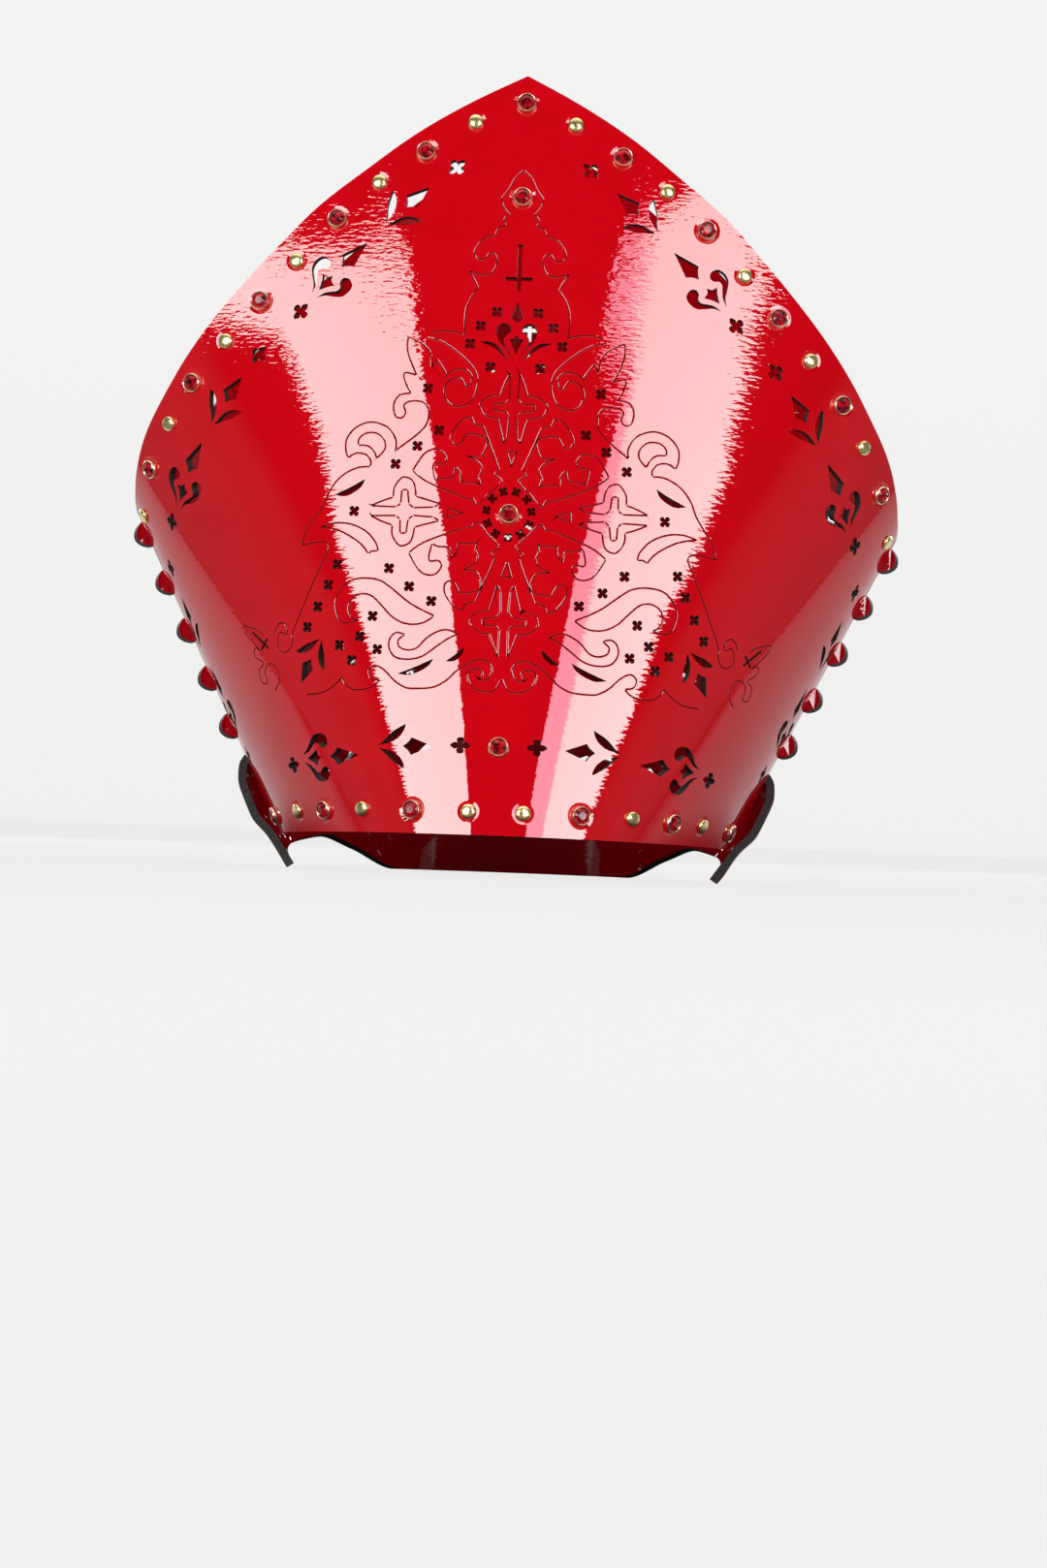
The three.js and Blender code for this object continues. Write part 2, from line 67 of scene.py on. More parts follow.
# %% Sizes and outline tables
PEAK, SHOULDER, BRIM, ARCH = 285.0, 128.0, 12.0, 2.5
HALF_WIDTH, HALF_DEPTH = 82.5, 97.0
SPREAD, LEAN = 0.494, 0.15
LEATHER, LAYER_AIR = 3.0, 0.4
SIDE_WALL = LEATHER * hypot(1, SPREAD)
FRONT_WING, BACK_WING = 98.0, 86.0
NOTCH_HEIGHT, NOTCH_AIR = 46.0, 0.5
CORNER_HEIGHT, FLARE = 44.0, 8.0
BEND_START, BEND_END = 66.0, 88.0
MIDDLE_Y = CAD_BOX[1][1] / MM - (HALF_DEPTH + LEAN * BRIM)

TOP_EDGE = [
    (0, 1), (5.2, 0.936), (10.5, 0.863), (16.2, 0.774), (22, 0.687), (27.3, 0.599), (33, 0.512),
    (39.1, 0.426), (45.5, 0.341), (52.4, 0.257), (60.8, 0.173), (70.2, 0.09), (78, 0.037),
    (86, 0.008), (90, 0), (94, 0), (98, 0)]
BACK_HEM = [(0, 0), (39.1, 0), (52.4, 0.58), (65, 0.96), (74, 0.83), (90, 0.17), (92, 0), (94, 0)]
CORNER_OUT = [(0, 0.38), (0.25, 0.63), (0.41, 1), (0.64, 0.94), (0.84, 0.5),
              (1, -(SIDE_WALL + LAYER_AIR) / FLARE)]
CORNER_AHEAD = [(0, 6), (0.25, 3.5), (0.41, 2.5), (0.64, 1.5), (0.84, 0), (1, 0)]


def along(table, place):
    """Value at a place in a table, on a smooth curve that never overshoots its rows."""
    if place <= table[0][0]:
        return table[0][1]
    for i in range(1, len(table)):
        if place <= table[i][0]:
            break
    else:
        return table[-1][1]
    (x0, y0), (x1, y1) = table[i - 1], table[i]
    slope = (y1 - y0) / (x1 - x0)

    def tangent(k):
        if k in (0, len(table) - 1):
            return slope
        before = (table[k][1] - table[k - 1][1]) / (table[k][0] - table[k - 1][0])
        after = (table[k + 1][1] - table[k][1]) / (table[k + 1][0] - table[k][0])
        return 0.0 if before * after <= 0 else 2 * before * after / (before + after)

    t = (place - x0) / (x1 - x0)
    m0, m1 = tangent(i - 1) * (x1 - x0), tangent(i) * (x1 - x0)
    return ((2 * t ** 3 - 3 * t ** 2 + 1) * y0 + (t ** 3 - 2 * t ** 2 + t) * m0
            + (3 * t ** 2 - 2 * t ** 3) * y1 + (t ** 3 - t ** 2) * m1)


def height_at(rise):
    """Height of a rise: over 0 towards the peak, under 0 towards the brim."""
    return SHOULDER + rise * (PEAK - SHOULDER if rise > 0 else SHOULDER - BRIM)


def top_edge(turn):
    return height_at(along(TOP_EDGE, abs(turn)))


def front_hem(turn):
    return BRIM + ARCH * max(0.0, cos(radians(turn)))


def back_hem(turn):
    return BRIM * along(BACK_HEM, abs(turn))


print("peak edge", round(top_edge(0), 1), "shoulder edge", round(top_edge(90), 1))

# %% [markdown]
# A point on a sheet is named by its turn, in degrees round from the middle of that sheet, and its
# height. The back sheet is narrower at the sides, where it lies inside the front one, and its
# lower corners bend outwards. The same two functions later place every hole, stud and stone, so
# all of them follow the leather.

# %% Points and directions on the two sheets
def smoothstep(x, low, high):
    t = min(1.0, max(0.0, (x - low) / (high - low)))
    return t * t * (3 - 2 * t)


def front_point(turn, height):
    angle = radians(turn)
    across = HALF_WIDTH + SPREAD * (height - BRIM)
    deep = HALF_DEPTH - LEAN * (height - BRIM)
    return Vector((across * sin(angle), MIDDLE_Y - deep * cos(angle), height)) * MM


def back_point(turn, height):
    side = copysign(1.0, turn)
    inside = -SIDE_WALL - LAYER_AIR
    up = height / CORNER_HEIGHT
    plain = 180 - BACK_WING
    stretch = max(0.0, (abs(turn) - BEND_START) / (plain - BEND_START))
    bent = smoothstep(abs(turn), BEND_START, BEND_END)
    out = inside + (FLARE * along(CORNER_OUT, up) - inside) * bent
    angle = radians(turn + side * stretch * along(CORNER_AHEAD, up))
    across = HALF_WIDTH + SPREAD * (height - BRIM) + out
    deep = HALF_DEPTH - LEAN * (height - BRIM)
    return Vector((-across * sin(angle), MIDDLE_Y + deep * cos(angle), height)) * MM


def directions(point, turn, height):
    """Unit vectors level along a sheet, up it and out of it, and the steps that give them."""
    level = (point(turn + 0.05, height) - point(turn - 0.05, height)) / 0.1
    upward = (point(turn, height + 0.05) - point(turn, height - 0.05)) / 0.1
    side = level.normalized()
    out = level.cross(upward).normalized()
    return side, out.cross(side).normalized(), out, level, upward


def over(point, turn, height, u, v):
    """Turn and height of a place u millimetres along and v millimetres up from another."""
    side, rise, _, level, upward = directions(point, turn, height)
    climb = v * MM / upward.dot(rise)
    swing = (u * MM - climb * upward.dot(side)) / level.length
    return turn + swing, height + climb


print("front middle", front_point(0, BRIM), "side", front_point(90, SHOULDER))

# %% [markdown]
# Shader sums are easier to read as Python sums. This small class wraps one socket, so that
# mask * 2 + 1 adds the Math nodes by itself. The function node adds any other node in one line.

# %% A wrapper for shader sums
class Wire:
    def __init__(self, tree, socket):
        self.tree, self.socket = tree, socket

    def sum(self, operation, first, second):
        return node(self.tree, "ShaderNodeMath", {"operation": operation}, {0: first, 1: second})[0]

    def __add__(self, other):
        return self.sum("ADD", self, other)

    def __mul__(self, other):
        return self.sum("MULTIPLY", self, other)

    def __sub__(self, other):
        return self.sum("SUBTRACT", self, other)

    def __rsub__(self, other):
        return self.sum("SUBTRACT", other, self)

    __radd__, __rmul__ = __add__, __mul__


class Outs:
    def __init__(self, tree, made):
        self.tree, self.made = tree, made

    def __getitem__(self, key):
        return Wire(self.tree, self.made.outputs[key])


def node(tree, kind, settings, inputs):
    made = tree.nodes.new(kind)
    for key, value in settings.items():
        if key == "stops":
            elements = made.color_ramp.elements
            while len(elements) < len(value):
                elements.new(0.5)
            for element, (place, colour) in zip(elements, value):
                element.position, element.color = place, colour
        else:
            setattr(made, key, value)
    for key, value in inputs.items():
        if isinstance(value, Wire):
            tree.links.new(value.socket, made.inputs[key])
        else:
            made.inputs[key].default_value = value
    return Outs(tree, made)


print("made", Wire.__name__, Outs.__name__, node.__name__)

# %% [markdown]
# Each material starts from an empty node tree and ends in a Principled shader. The kinds of node
# that come back in most of them get a short function here.

# %% Short functions for materials
def new_material(name):
    material = bpy.data.materials.new(name)
    material.use_nodes = True
    tree = material.node_tree
    tree.nodes.clear()
    return material, tree


def finish_material(tree, settings):
    shader = node(tree, "ShaderNodeBsdfPrincipled", {}, settings)
    node(tree, "ShaderNodeOutputMaterial", {}, {"Surface": shader["BSDF"]})


def object_place(tree):
    return node(tree, "ShaderNodeTexCoord", {}, {})["Object"]


def grey(value):
    return (value, value, value, 1.0)


def noise(tree, place, scale, detail):
    inputs = {"Vector": place, "Scale": scale, "Detail": detail}
    return node(tree, "ShaderNodeTexNoise", {}, inputs)["Fac"]


def ramp(tree, fac, stops):
    return node(tree, "ShaderNodeValToRGB", {"stops": stops}, {"Fac": fac})["Color"]


def bump(tree, inputs):
    return node(tree, "ShaderNodeBump", {}, inputs)["Normal"]


def eased(tree, value, low, high, start, end):
    """From start at low to end at high by a smooth step, and level outside them."""
    return node(tree, "ShaderNodeMapRange", {"interpolation_type": "SMOOTHSTEP"}, {
        "Value": value, "From Min": low, "From Max": high, "To Min": start, "To Max": end})[0]


def parts_of(tree, vector):
    return node(tree, "ShaderNodeSeparateXYZ", {}, {"Vector": vector})


def glowing(tree, colour, strength):
    return node(tree, "ShaderNodeEmission", {}, {"Color": colour, "Strength": strength})["Emission"]


def size_of(tree, value):
    return node(tree, "ShaderNodeMath", {"operation": "ABSOLUTE"}, {0: value})[0]


def greater(first, second):
    return first.sum("MAXIMUM", first, second)


def lesser(first, second):
    return first.sum("MINIMUM", first, second)


print("mid grey as a colour", grey(0.5))

# %% [markdown]
# Patent leather is red leather under a thick clear varnish, which is as glossy as glass. That
# needs no second layer: a plain colour under a sharp reflection gives the mirror bands of the
# studio lights. The varnish isn't dead flat: a fine ripple breaks the edges of each reflection
# into short strokes, and that comes from noise fed through a Bump node. The strokes are stronger
# above the tracery, near the middle. Long soft waves under them make the bands wander a little, as
# they do on a bent sheet.

# %% Patent leather, inside and outside
RIPPLE = 0.04


def patent_leather(name, colour, deep_colour):
    material, tree = new_material(name)
    place = object_place(tree)
    short_place = node(tree, "ShaderNodeMapping", {}, {"Vector": place, "Scale": (1.0, 1.0, 3.0)})
    fibre = noise(tree, short_place["Vector"], 300.0, 1.0)
    parts = parts_of(tree, place)
    high = eased(tree, parts["Z"], 0.165, 0.185, 0.0, 1.0)
    near_middle = eased(tree, size_of(tree, parts["X"]), 0.035, 0.06, 1.0, 0.0)
    strokes_up = fibre * (high * near_middle * 1.5 + 1.0)
    base = ramp(tree, noise(tree, place, 60.0, 4.0), [(0.3, deep_colour), (0.7, colour)])
    wave = noise(tree, place, 14.0, 1.0)
    soft = bump(tree, {"Height": wave, "Strength": 0.12, "Distance": 0.004})
    fine = bump(tree, {
        "Height": strokes_up, "Strength": RIPPLE, "Distance": 0.0004, "Normal": soft})
    finish_material(tree, {
        "Base Color": base, "Roughness": 0.018, "IOR": 1.5, "Specular IOR Level": 0.8,
        "Normal": fine})
    return material


red_outside = patent_leather("patent_red", (0.55, 0.0, 0.006, 1), (0.51, 0.0, 0.005, 1))
# The inside is the same varnished red as the outside, made darker: painted shade.
red_inside_shaded = patent_leather("patent_inside", (0.42, 0.0, 0.006, 1), (0.36, 0.0, 0.005, 1))
print("materials", red_outside.name, red_inside_shaded.name)

# %% [markdown]
# The leather's core is dyed black, so each cut edge shows as a dark, slightly furry line. Gold is
# a metal: all of its colour is in the reflection. The cups are a rosy gold and the studs a
# greenish one. The stones are dark red glass, and spots of a brighter red stand for the flashes
# inside them.

# %% Black core, gold and stone
def leather_core():
    material, tree = new_material("leather_core")
    fibre = noise(tree, object_place(tree), 1800.0, 4.0)
    base = ramp(tree, fibre, [(0.35, (0.006, 0.005, 0.005, 1)), (0.75, (0.05, 0.043, 0.038, 1))])
    furry = bump(tree, {"Height": fibre, "Strength": 0.5, "Distance": 0.0003})
    finish_material(tree, {"Base Color": base, "Roughness": 0.7, "Normal": furry})
    return material


def polished_gold(name, dark, light):
    material, tree = new_material(name)
    tone = noise(tree, object_place(tree), 900.0, 3.0)
    base = ramp(tree, tone, [(0.3, dark), (0.7, light)])
    finish_material(tree, {
        "Base Color": base, "Metallic": 1.0, "Roughness": tone * 0.12 + 0.16})
    return material


def red_stone():
    material, tree = new_material("red_stone")
    tone = noise(tree, object_place(tree), 700.0, 1.0)
    base = ramp(tree, tone, [(0.38, (0.04, 0.0, 0.003, 1)), (0.62, (0.5, 0.003, 0.012, 1))])
    finish_material(tree, {
        "Base Color": base, "Roughness": 0.06, "IOR": 1.5, "Specular IOR Level": 0.35})
    return material


def scored_wall():
    material, tree = new_material("scored_wall")
    tone = noise(tree, object_place(tree), 1200.0, 2.0)
    base = ramp(tree, tone, [(0.35, (0.03, 0.0, 0.002, 1)), (0.7, (0.09, 0.003, 0.006, 1))])
    finish_material(tree, {"Base Color": base, "Roughness": 0.55})
    return material


core, stone, scored = leather_core(), red_stone(), scored_wall()
cup_gold = polished_gold("rose_gold", (0.9, 0.6, 0.38, 1), (1.0, 0.78, 0.56, 1))
stud_gold = polished_gold("green_gold", (0.85, 0.7, 0.3, 1), (0.96, 0.84, 0.42, 1))
print("materials", core.name, stone.name, scored.name, cup_gold.name, stud_gold.name)

# %% [markdown]
# Each sheet starts as a flat grid. Every point of it is moved to its place on the bent sheet, and
# Solidify then gives the wall its thickness towards the inside. Solidify can give the rim and the
# inner face their own material slots: 0 is the red outside, 1 the black cut edge and 2 the inside.
# Slots 3 and 4 wait for the scored lines: 3 is the wall of a groove, and 4 the polished shoulder
# beside it, as red as the outside but with the slope of its own faces.

# %% Bent sheets from flat grids
OUTSIDE_SLOT, EDGE_SLOT, INSIDE_SLOT, GROOVE_SLOT, SHOULDER_SLOT = range(5)
SHEET_MATERIALS = (red_outside, core, red_inside_shaded, scored, red_outside)


def deselect_all():
    bpy.ops.object.select_all(action="DESELECT")


def only(obj):
    deselect_all()
    obj.select_set(True)
    bpy.context.view_layer.objects.active = obj


def sheet_grid(name, point, half_turn, hem, columns, rows):
    deselect_all()
    bpy.ops.mesh.primitive_grid_add(x_subdivisions=columns, y_subdivisions=rows, size=1)
    sheet = bpy.context.object
    sheet.name = name
    for vertex in sheet.data.vertices:
        turn = 2 * vertex.co.x * half_turn
        low, high = hem(turn), top_edge(turn)
        vertex.co = point(turn, low + (high - low) * (vertex.co.y + 0.5))
    return sheet


def bent_sheet(name, point, half_turn, hem, columns, rows):
    sheet = sheet_grid(name, point, half_turn, hem, columns, rows)
    for material in SHEET_MATERIALS:
        sheet.data.materials.append(material)
    wall = sheet.modifiers.new("wall", "SOLIDIFY")
    wall.thickness, wall.offset, wall.use_even_offset = LEATHER * MM, -1.0, False
    wall.material_offset, wall.material_offset_rim = INSIDE_SLOT, EDGE_SLOT
    bpy.ops.object.modifier_apply(modifier="wall")
    bpy.ops.object.shade_smooth_by_angle(angle=radians(40))
    print(name, len(sheet.data.polygons), "faces")
    return sheet


front = bent_sheet("front_sheet", front_point, FRONT_WING, front_hem, 160, 80)
back = bent_sheet("back_sheet", back_point, 180 - BACK_WING, back_hem, 160, 90)

# %% [markdown]
# Holes are cut with a Boolean, as a punch goes through leather. A punch is an outline drawn flat
# in millimetres. A curve runs through its rows of x and y, and it turns sharply at each row that
# has a 1 at its end.

# %% Outlines of the motifs
QUATREFOIL = [
    (0, 3.7, 1), (0.8, 2.8), (1.15, 1.9), (0.9, 0.95, 1), (1.8, 1.35), (2.6, 1), (2.9, 0),
    (2.6, -1), (1.8, -1.35), (0.9, -0.95, 1), (1.15, -1.9), (0.8, -2.8), (0, -3.7, 1)]
SMALL_PETAL = [(0, 3.65), (1.05, 3.2), (1.5, 2.3), (1.05, 1.0, 1)]
TREFOIL_KITE = [(0, 10.2, 1), (3.1, 2.4, 1), (1.5, 1.2), (0, -0.8, 1)]
TREFOIL_PETAL = [
    (0.5, -10, 1), (2.4, -7.6), (5.2, -4.6), (7.9, 0, 1), (5.8, -0.4), (3.4, -2.1), (1.6, -5)]
SCROLL_KITE = [(0, 13.6, 1), (3.1, 4.4, 1), (1.5, 3.1), (0, 0.9, 1)]
SCROLL_COMMA = [
    (1.2, -13.2, 1), (3, -10.4), (5.4, -8.6), (7.8, -6.4), (8.5, -3.4), (7.6, -0.8), (5.2, 0),
    (3.4, -1.2), (3.6, -3.1), (5, -4.4), (5.1, -6), (3.8, -7.6), (2.2, -9.8)]
SCROLL_SPADE = [(0, -3.2, 1), (1, -4.9), (3.1, -5.4, 1), (1.6, -7.4), (0, -10.6, 1)]
FLEUR_KITE = [(0, 12.7, 1), (2.2, 7, 1), (0, 4.9, 1)]
FLEUR_COMMA = [
    (1, -8.4, 1), (3.4, -4.6), (6, -1.8), (7.2, 1.4), (6.4, 3.9), (4.4, 4.9), (2.3, 3.9), (2, 2),
    (3.4, 0.6), (4.5, -0.8), (4, -2.8), (2.6, -5.2)]
FLEUR_SPADE = [(0, 0.8, 1), (0.9, -0.6), (2.5, -0.8, 1), (1.5, -3), (0, -6.6, 1)]
FLEUR_LEAF = [(13, -1.9, 1), (8.6, -2.2), (5.3, -4.6), (2.6, -9, 1), (5, -6.6), (8, -4.2)]
CROSS = [
    (0, 8.6), (0.8, 8.4, 1), (0.8, -3.4, 1), (4.8, -3.4, 1), (4.8, -4.9, 1), (0.8, -4.9, 1),
    (0.8, -8.4, 1), (0, -8.6)]

print("rows of the scroll", len(SCROLL_KITE + SCROLL_COMMA + SCROLL_SPADE))

# %% [markdown]
# Most motifs are mirror images in themselves, so the tables list their right halves only, and the
# left halves are made here. A motif can be one hole or several close together.

# %% Whole motifs and the curves round them
def mirrored(half):
    """Whole outline from its right half, listed from the top down to the bottom on the axis."""
    return half + [(-x, y, *sharp) for x, y, *sharp in reversed(half) if x > 0]


def flipped(outline):
    return [(-x, y, *sharp) for x, y, *sharp in reversed(outline)]


def four_petals(right):
    """One petal's right half, mirrored and turned to make all four."""
    turned = []
    for quarter in range(4):
        a = -quarter * pi / 2
        for x, y, *sharp in flipped(right[1:3]) + right:
            turned.append((x * cos(a) - y * sin(a),
                           x * sin(a) + y * cos(a), *sharp))
    return turned


MOTIFS = {
    "quatrefoil": [mirrored(QUATREFOIL)],
    "small": [four_petals(SMALL_PETAL)],
    "trefoil": [mirrored(TREFOIL_KITE), TREFOIL_PETAL, flipped(TREFOIL_PETAL)],
    "scroll": [mirrored(SCROLL_KITE), SCROLL_COMMA, flipped(SCROLL_COMMA), mirrored(SCROLL_SPADE)],
    "fleur": [mirrored(FLEUR_KITE), FLEUR_COMMA, flipped(FLEUR_COMMA), mirrored(FLEUR_SPADE),
              FLEUR_LEAF, flipped(FLEUR_LEAF)],
    "cross": [mirrored(CROSS)],
}


def with_corners(rows):
    """Rows of x, y and sharp, where sharp is 0 in a row that leaves it out."""
    return [(x, y, *sharp, 0)[:3] for x, y, *sharp in rows]


def curve_through(points, closed=True, steps=5):
    """Places on a smooth curve through rows, with corners kept at sharp rows."""
    points = with_corners(points)
    count = len(points)
    spans = count if closed else count - 1
    curve = []
    for i in range(spans):
        here, there = points[i], points[(i + 1) % count]
        before = points[i - 1] if (closed or i > 0) and not here[2] else here
        after = points[(i + 2) % count] if (closed or i + 2 < count) and not there[2] else there
        for k in range(steps):
            t = k / steps
            curve.append(tuple(
                0.5 * (2 * here[a] + (there[a] - before[a]) * t
                       + (2 * before[a] - 5 * here[a] + 4 * there[a] - after[a]) * t * t
                       + (3 * here[a] - before[a] - 3 * there[a] + after[a]) * t ** 3)
                for a in (0, 1)))
    if not closed:
        curve.append(points[-1][:2])
    return curve


print("motifs", {name: len(parts) for name, parts in MOTIFS.items()})

# %% [markdown]
# The outline is laid over the sheet, point by point, and stretched from just outside it to just
# inside. Punches that don't touch are joined into one mesh, and one Boolean cuts with all of them.

# %% Punches laid over the leather
PUNCH_OUT, PUNCH_IN = 2, 6


def add_prism(mesh, upper, lower, slot=EDGE_SLOT):
    """Closed body between two rings of points that face each other."""
    spread = Vector((0, 0, 0))
    for here, there in zip(upper, upper[1:] + upper[:1]):
        spread += here.cross(there)
    if spread.dot(upper[0] - lower[0]) < 0:
        upper, lower = upper[::-1], lower[::-1]
    top = [mesh.verts.new(p) for p in upper]
    bottom = [mesh.verts.new(p) for p in lower]
    count = len(top)
    faces = [mesh.faces.new(top), mesh.faces.new(list(reversed(bottom)))]
    for i in range(count):
        n = (i + 1) % count
        faces.append(mesh.faces.new((top[n], top[i], bottom[i], bottom[n])))
    for face in faces:
        face.material_index = slot
    bmesh.ops.triangulate(mesh, faces=faces)


def add_punch(mesh, point, turn, height, outline, heading=0.0, size=1.0, steps=5):
    lean = radians(heading)
    upper, lower = [], []
    for x, y in curve_through(outline, steps=steps):
        u = size * (x * cos(lean) + y * sin(lean))
        v = size * (y * cos(lean) - x * sin(lean))
        spot = over(point, turn, height, u, v)
        out = directions(point, *spot)[2]
        upper.append(point(*spot) + out * PUNCH_OUT * MM)
        lower.append(point(*spot) - out * PUNCH_IN * MM)
    add_prism(mesh, upper, lower)


def tool_from(mesh, name):
    data = bpy.data.meshes.new(name)
    mesh.to_mesh(data)
    mesh.free()
    tool = bpy.data.objects.new(name, data)
    bpy.context.collection.objects.link(tool)
    for material in SHEET_MATERIALS:
        data.materials.append(material)
    return tool


def cut(piece, tool):
    only(piece)
    boolean = piece.modifiers.new("cut", "BOOLEAN")
    boolean.operation, boolean.object, boolean.solver = "DIFFERENCE", tool, "MANIFOLD"
    bpy.ops.object.modifier_apply(modifier="cut")
    bpy.data.objects.remove(tool, do_unlink=True)
    print(piece.name, "after cut", len(piece.data.polygons), "faces")


print("points round a quatrefoil", len(curve_through(MOTIFS["quatrefoil"][0])))

# %% [markdown]
# The border runs down each side inside the row of stones, round the lower corner and in to the
# middle. Each row below names a motif, where it sits, and which way its head points, in degrees
# from straight up the leather. A mirrored copy goes on the other side. The back sheet has only the
# motifs that stay clear of its bent corners.

# %% Border and middle of the front
BORDER = [
    ("quatrefoil", 6.8, 0.783, -47), ("trefoil", 12.2, 0.69, -46), ("scroll", 20.6, 0.541, -43),
    ("quatrefoil", 26.3, 0.443, -41), ("quatrefoil", 33.4, 0.344, -37),
    ("trefoil", 40.6, 0.24, -33), ("scroll", 53.6, 0.073, -30), ("quatrefoil", 63.7, -0.04, -22),
    ("quatrefoil", 74, -0.177, -8), ("trefoil", 76.5, -0.345, -2), ("scroll", 76.5, -0.586, 2),
    ("quatrefoil", 76, -0.754, 4), ("quatrefoil", 51, -0.786, -82), ("scroll", 38.8, -0.759, -86),
    ("trefoil", 19.4, -0.721, -88), ("quatrefoil", 7.7, -0.713, -90)]
CRESCENT = [
    (0, -0.5, 1), (0.9, -0.22), (1.0, 0.1), (0.7, 0.34), (0, 0.5, 1), (0.1, 0.2), (0.1, -0.16)]
BACK_REACH = 60
CRESCENTS = [(23.3, 0.045, -62, 12.5, 2.6), (15.7, -0.479, -66, 14, 2.4), (8.4, -0.44, -50, 8, 2)]


def punch_border(mesh, point, reach):
    for motif, turn, rise, heading in BORDER:
        if turn < reach:
            for side in (-1, 1):
                for outline in MOTIFS[motif]:
                    add_punch(mesh, point, side * turn, height_at(rise), outline, side * heading)


print("border motifs a side", len(BORDER), "crescents a side", len(CRESCENTS))

# %% [markdown]
# The middle is laid out like a drawing, on a fine grid of 14 steps to the millimetre, counted from
# the centre stone to the right and up. The drawing is seen from the front, so a place on it is
# carried straight back onto the bent sheet. The small four-petalled holes come first.

# %% The drawing grid and the small holes
CENTRE_HEIGHT = height_at(-0.011)
ACROSS, UP = 0.0686, 0.0709
SMALL_HOLES = [
    (106, 1016), (187, 943), (237, 851), (128, 736), (443, 620), (376, 410), (483, 329),
    (591, 236), (795, -3), (600, -285), (492, -373), (375, -443), (870, -270), (914, -373),
    (965, -482), (1017, -584), (674, -524), (736, -626), (841, -671), (642, -688), (774, -745)]
SMALL_LEAN, SMALL_SIZE = 43, 0.6
RING_RADIUS, RING_COUNT, RING_SIZE = 116, 11, 0.5
TILTED = [("trefoil", 37.2, 73.5, 152, 0.88), ("cross", 48.6, 80.7, 52, 0.55)]
FLEUR_RISE, CROSS_RISE = 0.395, 0.554


def drawn(x, y):
    height = CENTRE_HEIGHT + y * UP
    return degrees(asin(x * ACROSS / (HALF_WIDTH + SPREAD * (height - BRIM)))), height


def punch_middle(mesh, point):
    small = MOTIFS["small"][0]
    for x, y in SMALL_HOLES:
        for side in (-1, 1):
            place = drawn(side * x, y)
            add_punch(mesh, point, *place, small, side * SMALL_LEAN, SMALL_SIZE, steps=3)
    for k in range(RING_COUNT):
        way = 2 * pi * k / RING_COUNT
        place = drawn(RING_RADIUS * sin(way), -RING_RADIUS * cos(way))
        add_punch(mesh, point, *place, small, 45 - degrees(way), RING_SIZE, steps=3)
    for turn, rise, lean, length, full in CRESCENTS:
        for side in (-1, 1):
            outline = [(-side * x * full, y * length, *sharp) for x, y, *sharp in CRESCENT]
            add_punch(mesh, point, side * turn, height_at(rise), outline, side * lean)
    for side in (-1, 1):
        for motif, turn, height, lean, size in TILTED:
            for part in MOTIFS[motif]:
                add_punch(mesh, point, side * turn, height, part, side * lean, size)
    for part in MOTIFS["fleur"]:
        add_punch(mesh, point, 0, height_at(FLEUR_RISE), part)
    add_punch(mesh, point, 0, height_at(CROSS_RISE), MOTIFS["cross"][0])


for sheet, point, reach in ((front, front_point, FRONT_WING), (back, back_point, BACK_REACH)):
    punches = bmesh.new()
    punch_border(punches, point, reach)
    punch_middle(punches, point)
    cut(sheet, tool_from(punches, sheet.name + "_punches"))

# %% [markdown]
# Fine lines are scored into the varnish between the holes: a round medal with four arms, each with
# a lobed cross, leaves that curl in the corners, an urn with a finial round the upper stone, and
# long scrolls to the sides. Each line is a row of places on the drawing, right half only, with a 1
# where the line turns sharply. They're common church ornament.

# %% Lines of the drawing
BLADE = [
    (25, 707, 1), (48, 658), (70, 594, 1), (118, 592), (164, 561), (172, 536), (156, 501),
    (122, 485), (77, 479, 1), (63, 429), (43, 355, 1), (25, 383, 1), (19, 489, 1), (39, 513, 1),
    (109, 522, 1), (108, 552, 1), (41, 555, 1), (22, 576, 1), (23, 638), (25, 707, 1)]
WEDGE = [(-24, 312, 1), (28, 315, 1), (3, 237, 1), (-24, 312, 1)]
LEAF = [
    (151, 441, 1), (58, 219, 1), (79, 197), (45, 170), (54, 147, 1), (79, 124), (104, 104),
    (124, 79), (147, 54, 1), (170, 45), (186, 73), (205, 66, 1), (417, 147), (502, 205, 1),
    (448, 288), (399, 314), (354, 304), (331, 265), (350, 241), (390, 244), (398, 217),
    (384, 157, 1), (352, 171), (297, 176), (282, 229, 1), (256, 198), (252, 151, 1), (197, 152),
    (150, 143, 1), (161, 181), (148, 216), (161, 251), (223, 285, 1), (152, 291), (125, 362),
    (155, 389), (224, 398), (245, 378), (268, 344), (304, 348), (310, 395), (263, 464),
    (214, 487, 1), (196, 449), (151, 441, 1)]
URN = [
    (0, 1745, 1), (42, 1704), (72, 1645), (106, 1598), (97, 1556), (64, 1515, 1), (84, 1500),
    (90, 1475), (80, 1457, 1), (119, 1441), (130, 1406, 1), (168, 1402), (207, 1371), (234, 1326),
    (229, 1292), (200, 1280), (173, 1293), (159, 1314), (135, 1316), (120, 1284), (122, 1249),
    (148, 1213), (194, 1204), (257, 1221, 1), (227, 1172), (206, 1134, 1), (238, 1093),
    (263, 1035), (269, 977), (267, 929), (262, 893, 1), (325, 911), (395, 912), (440, 898, 1)]
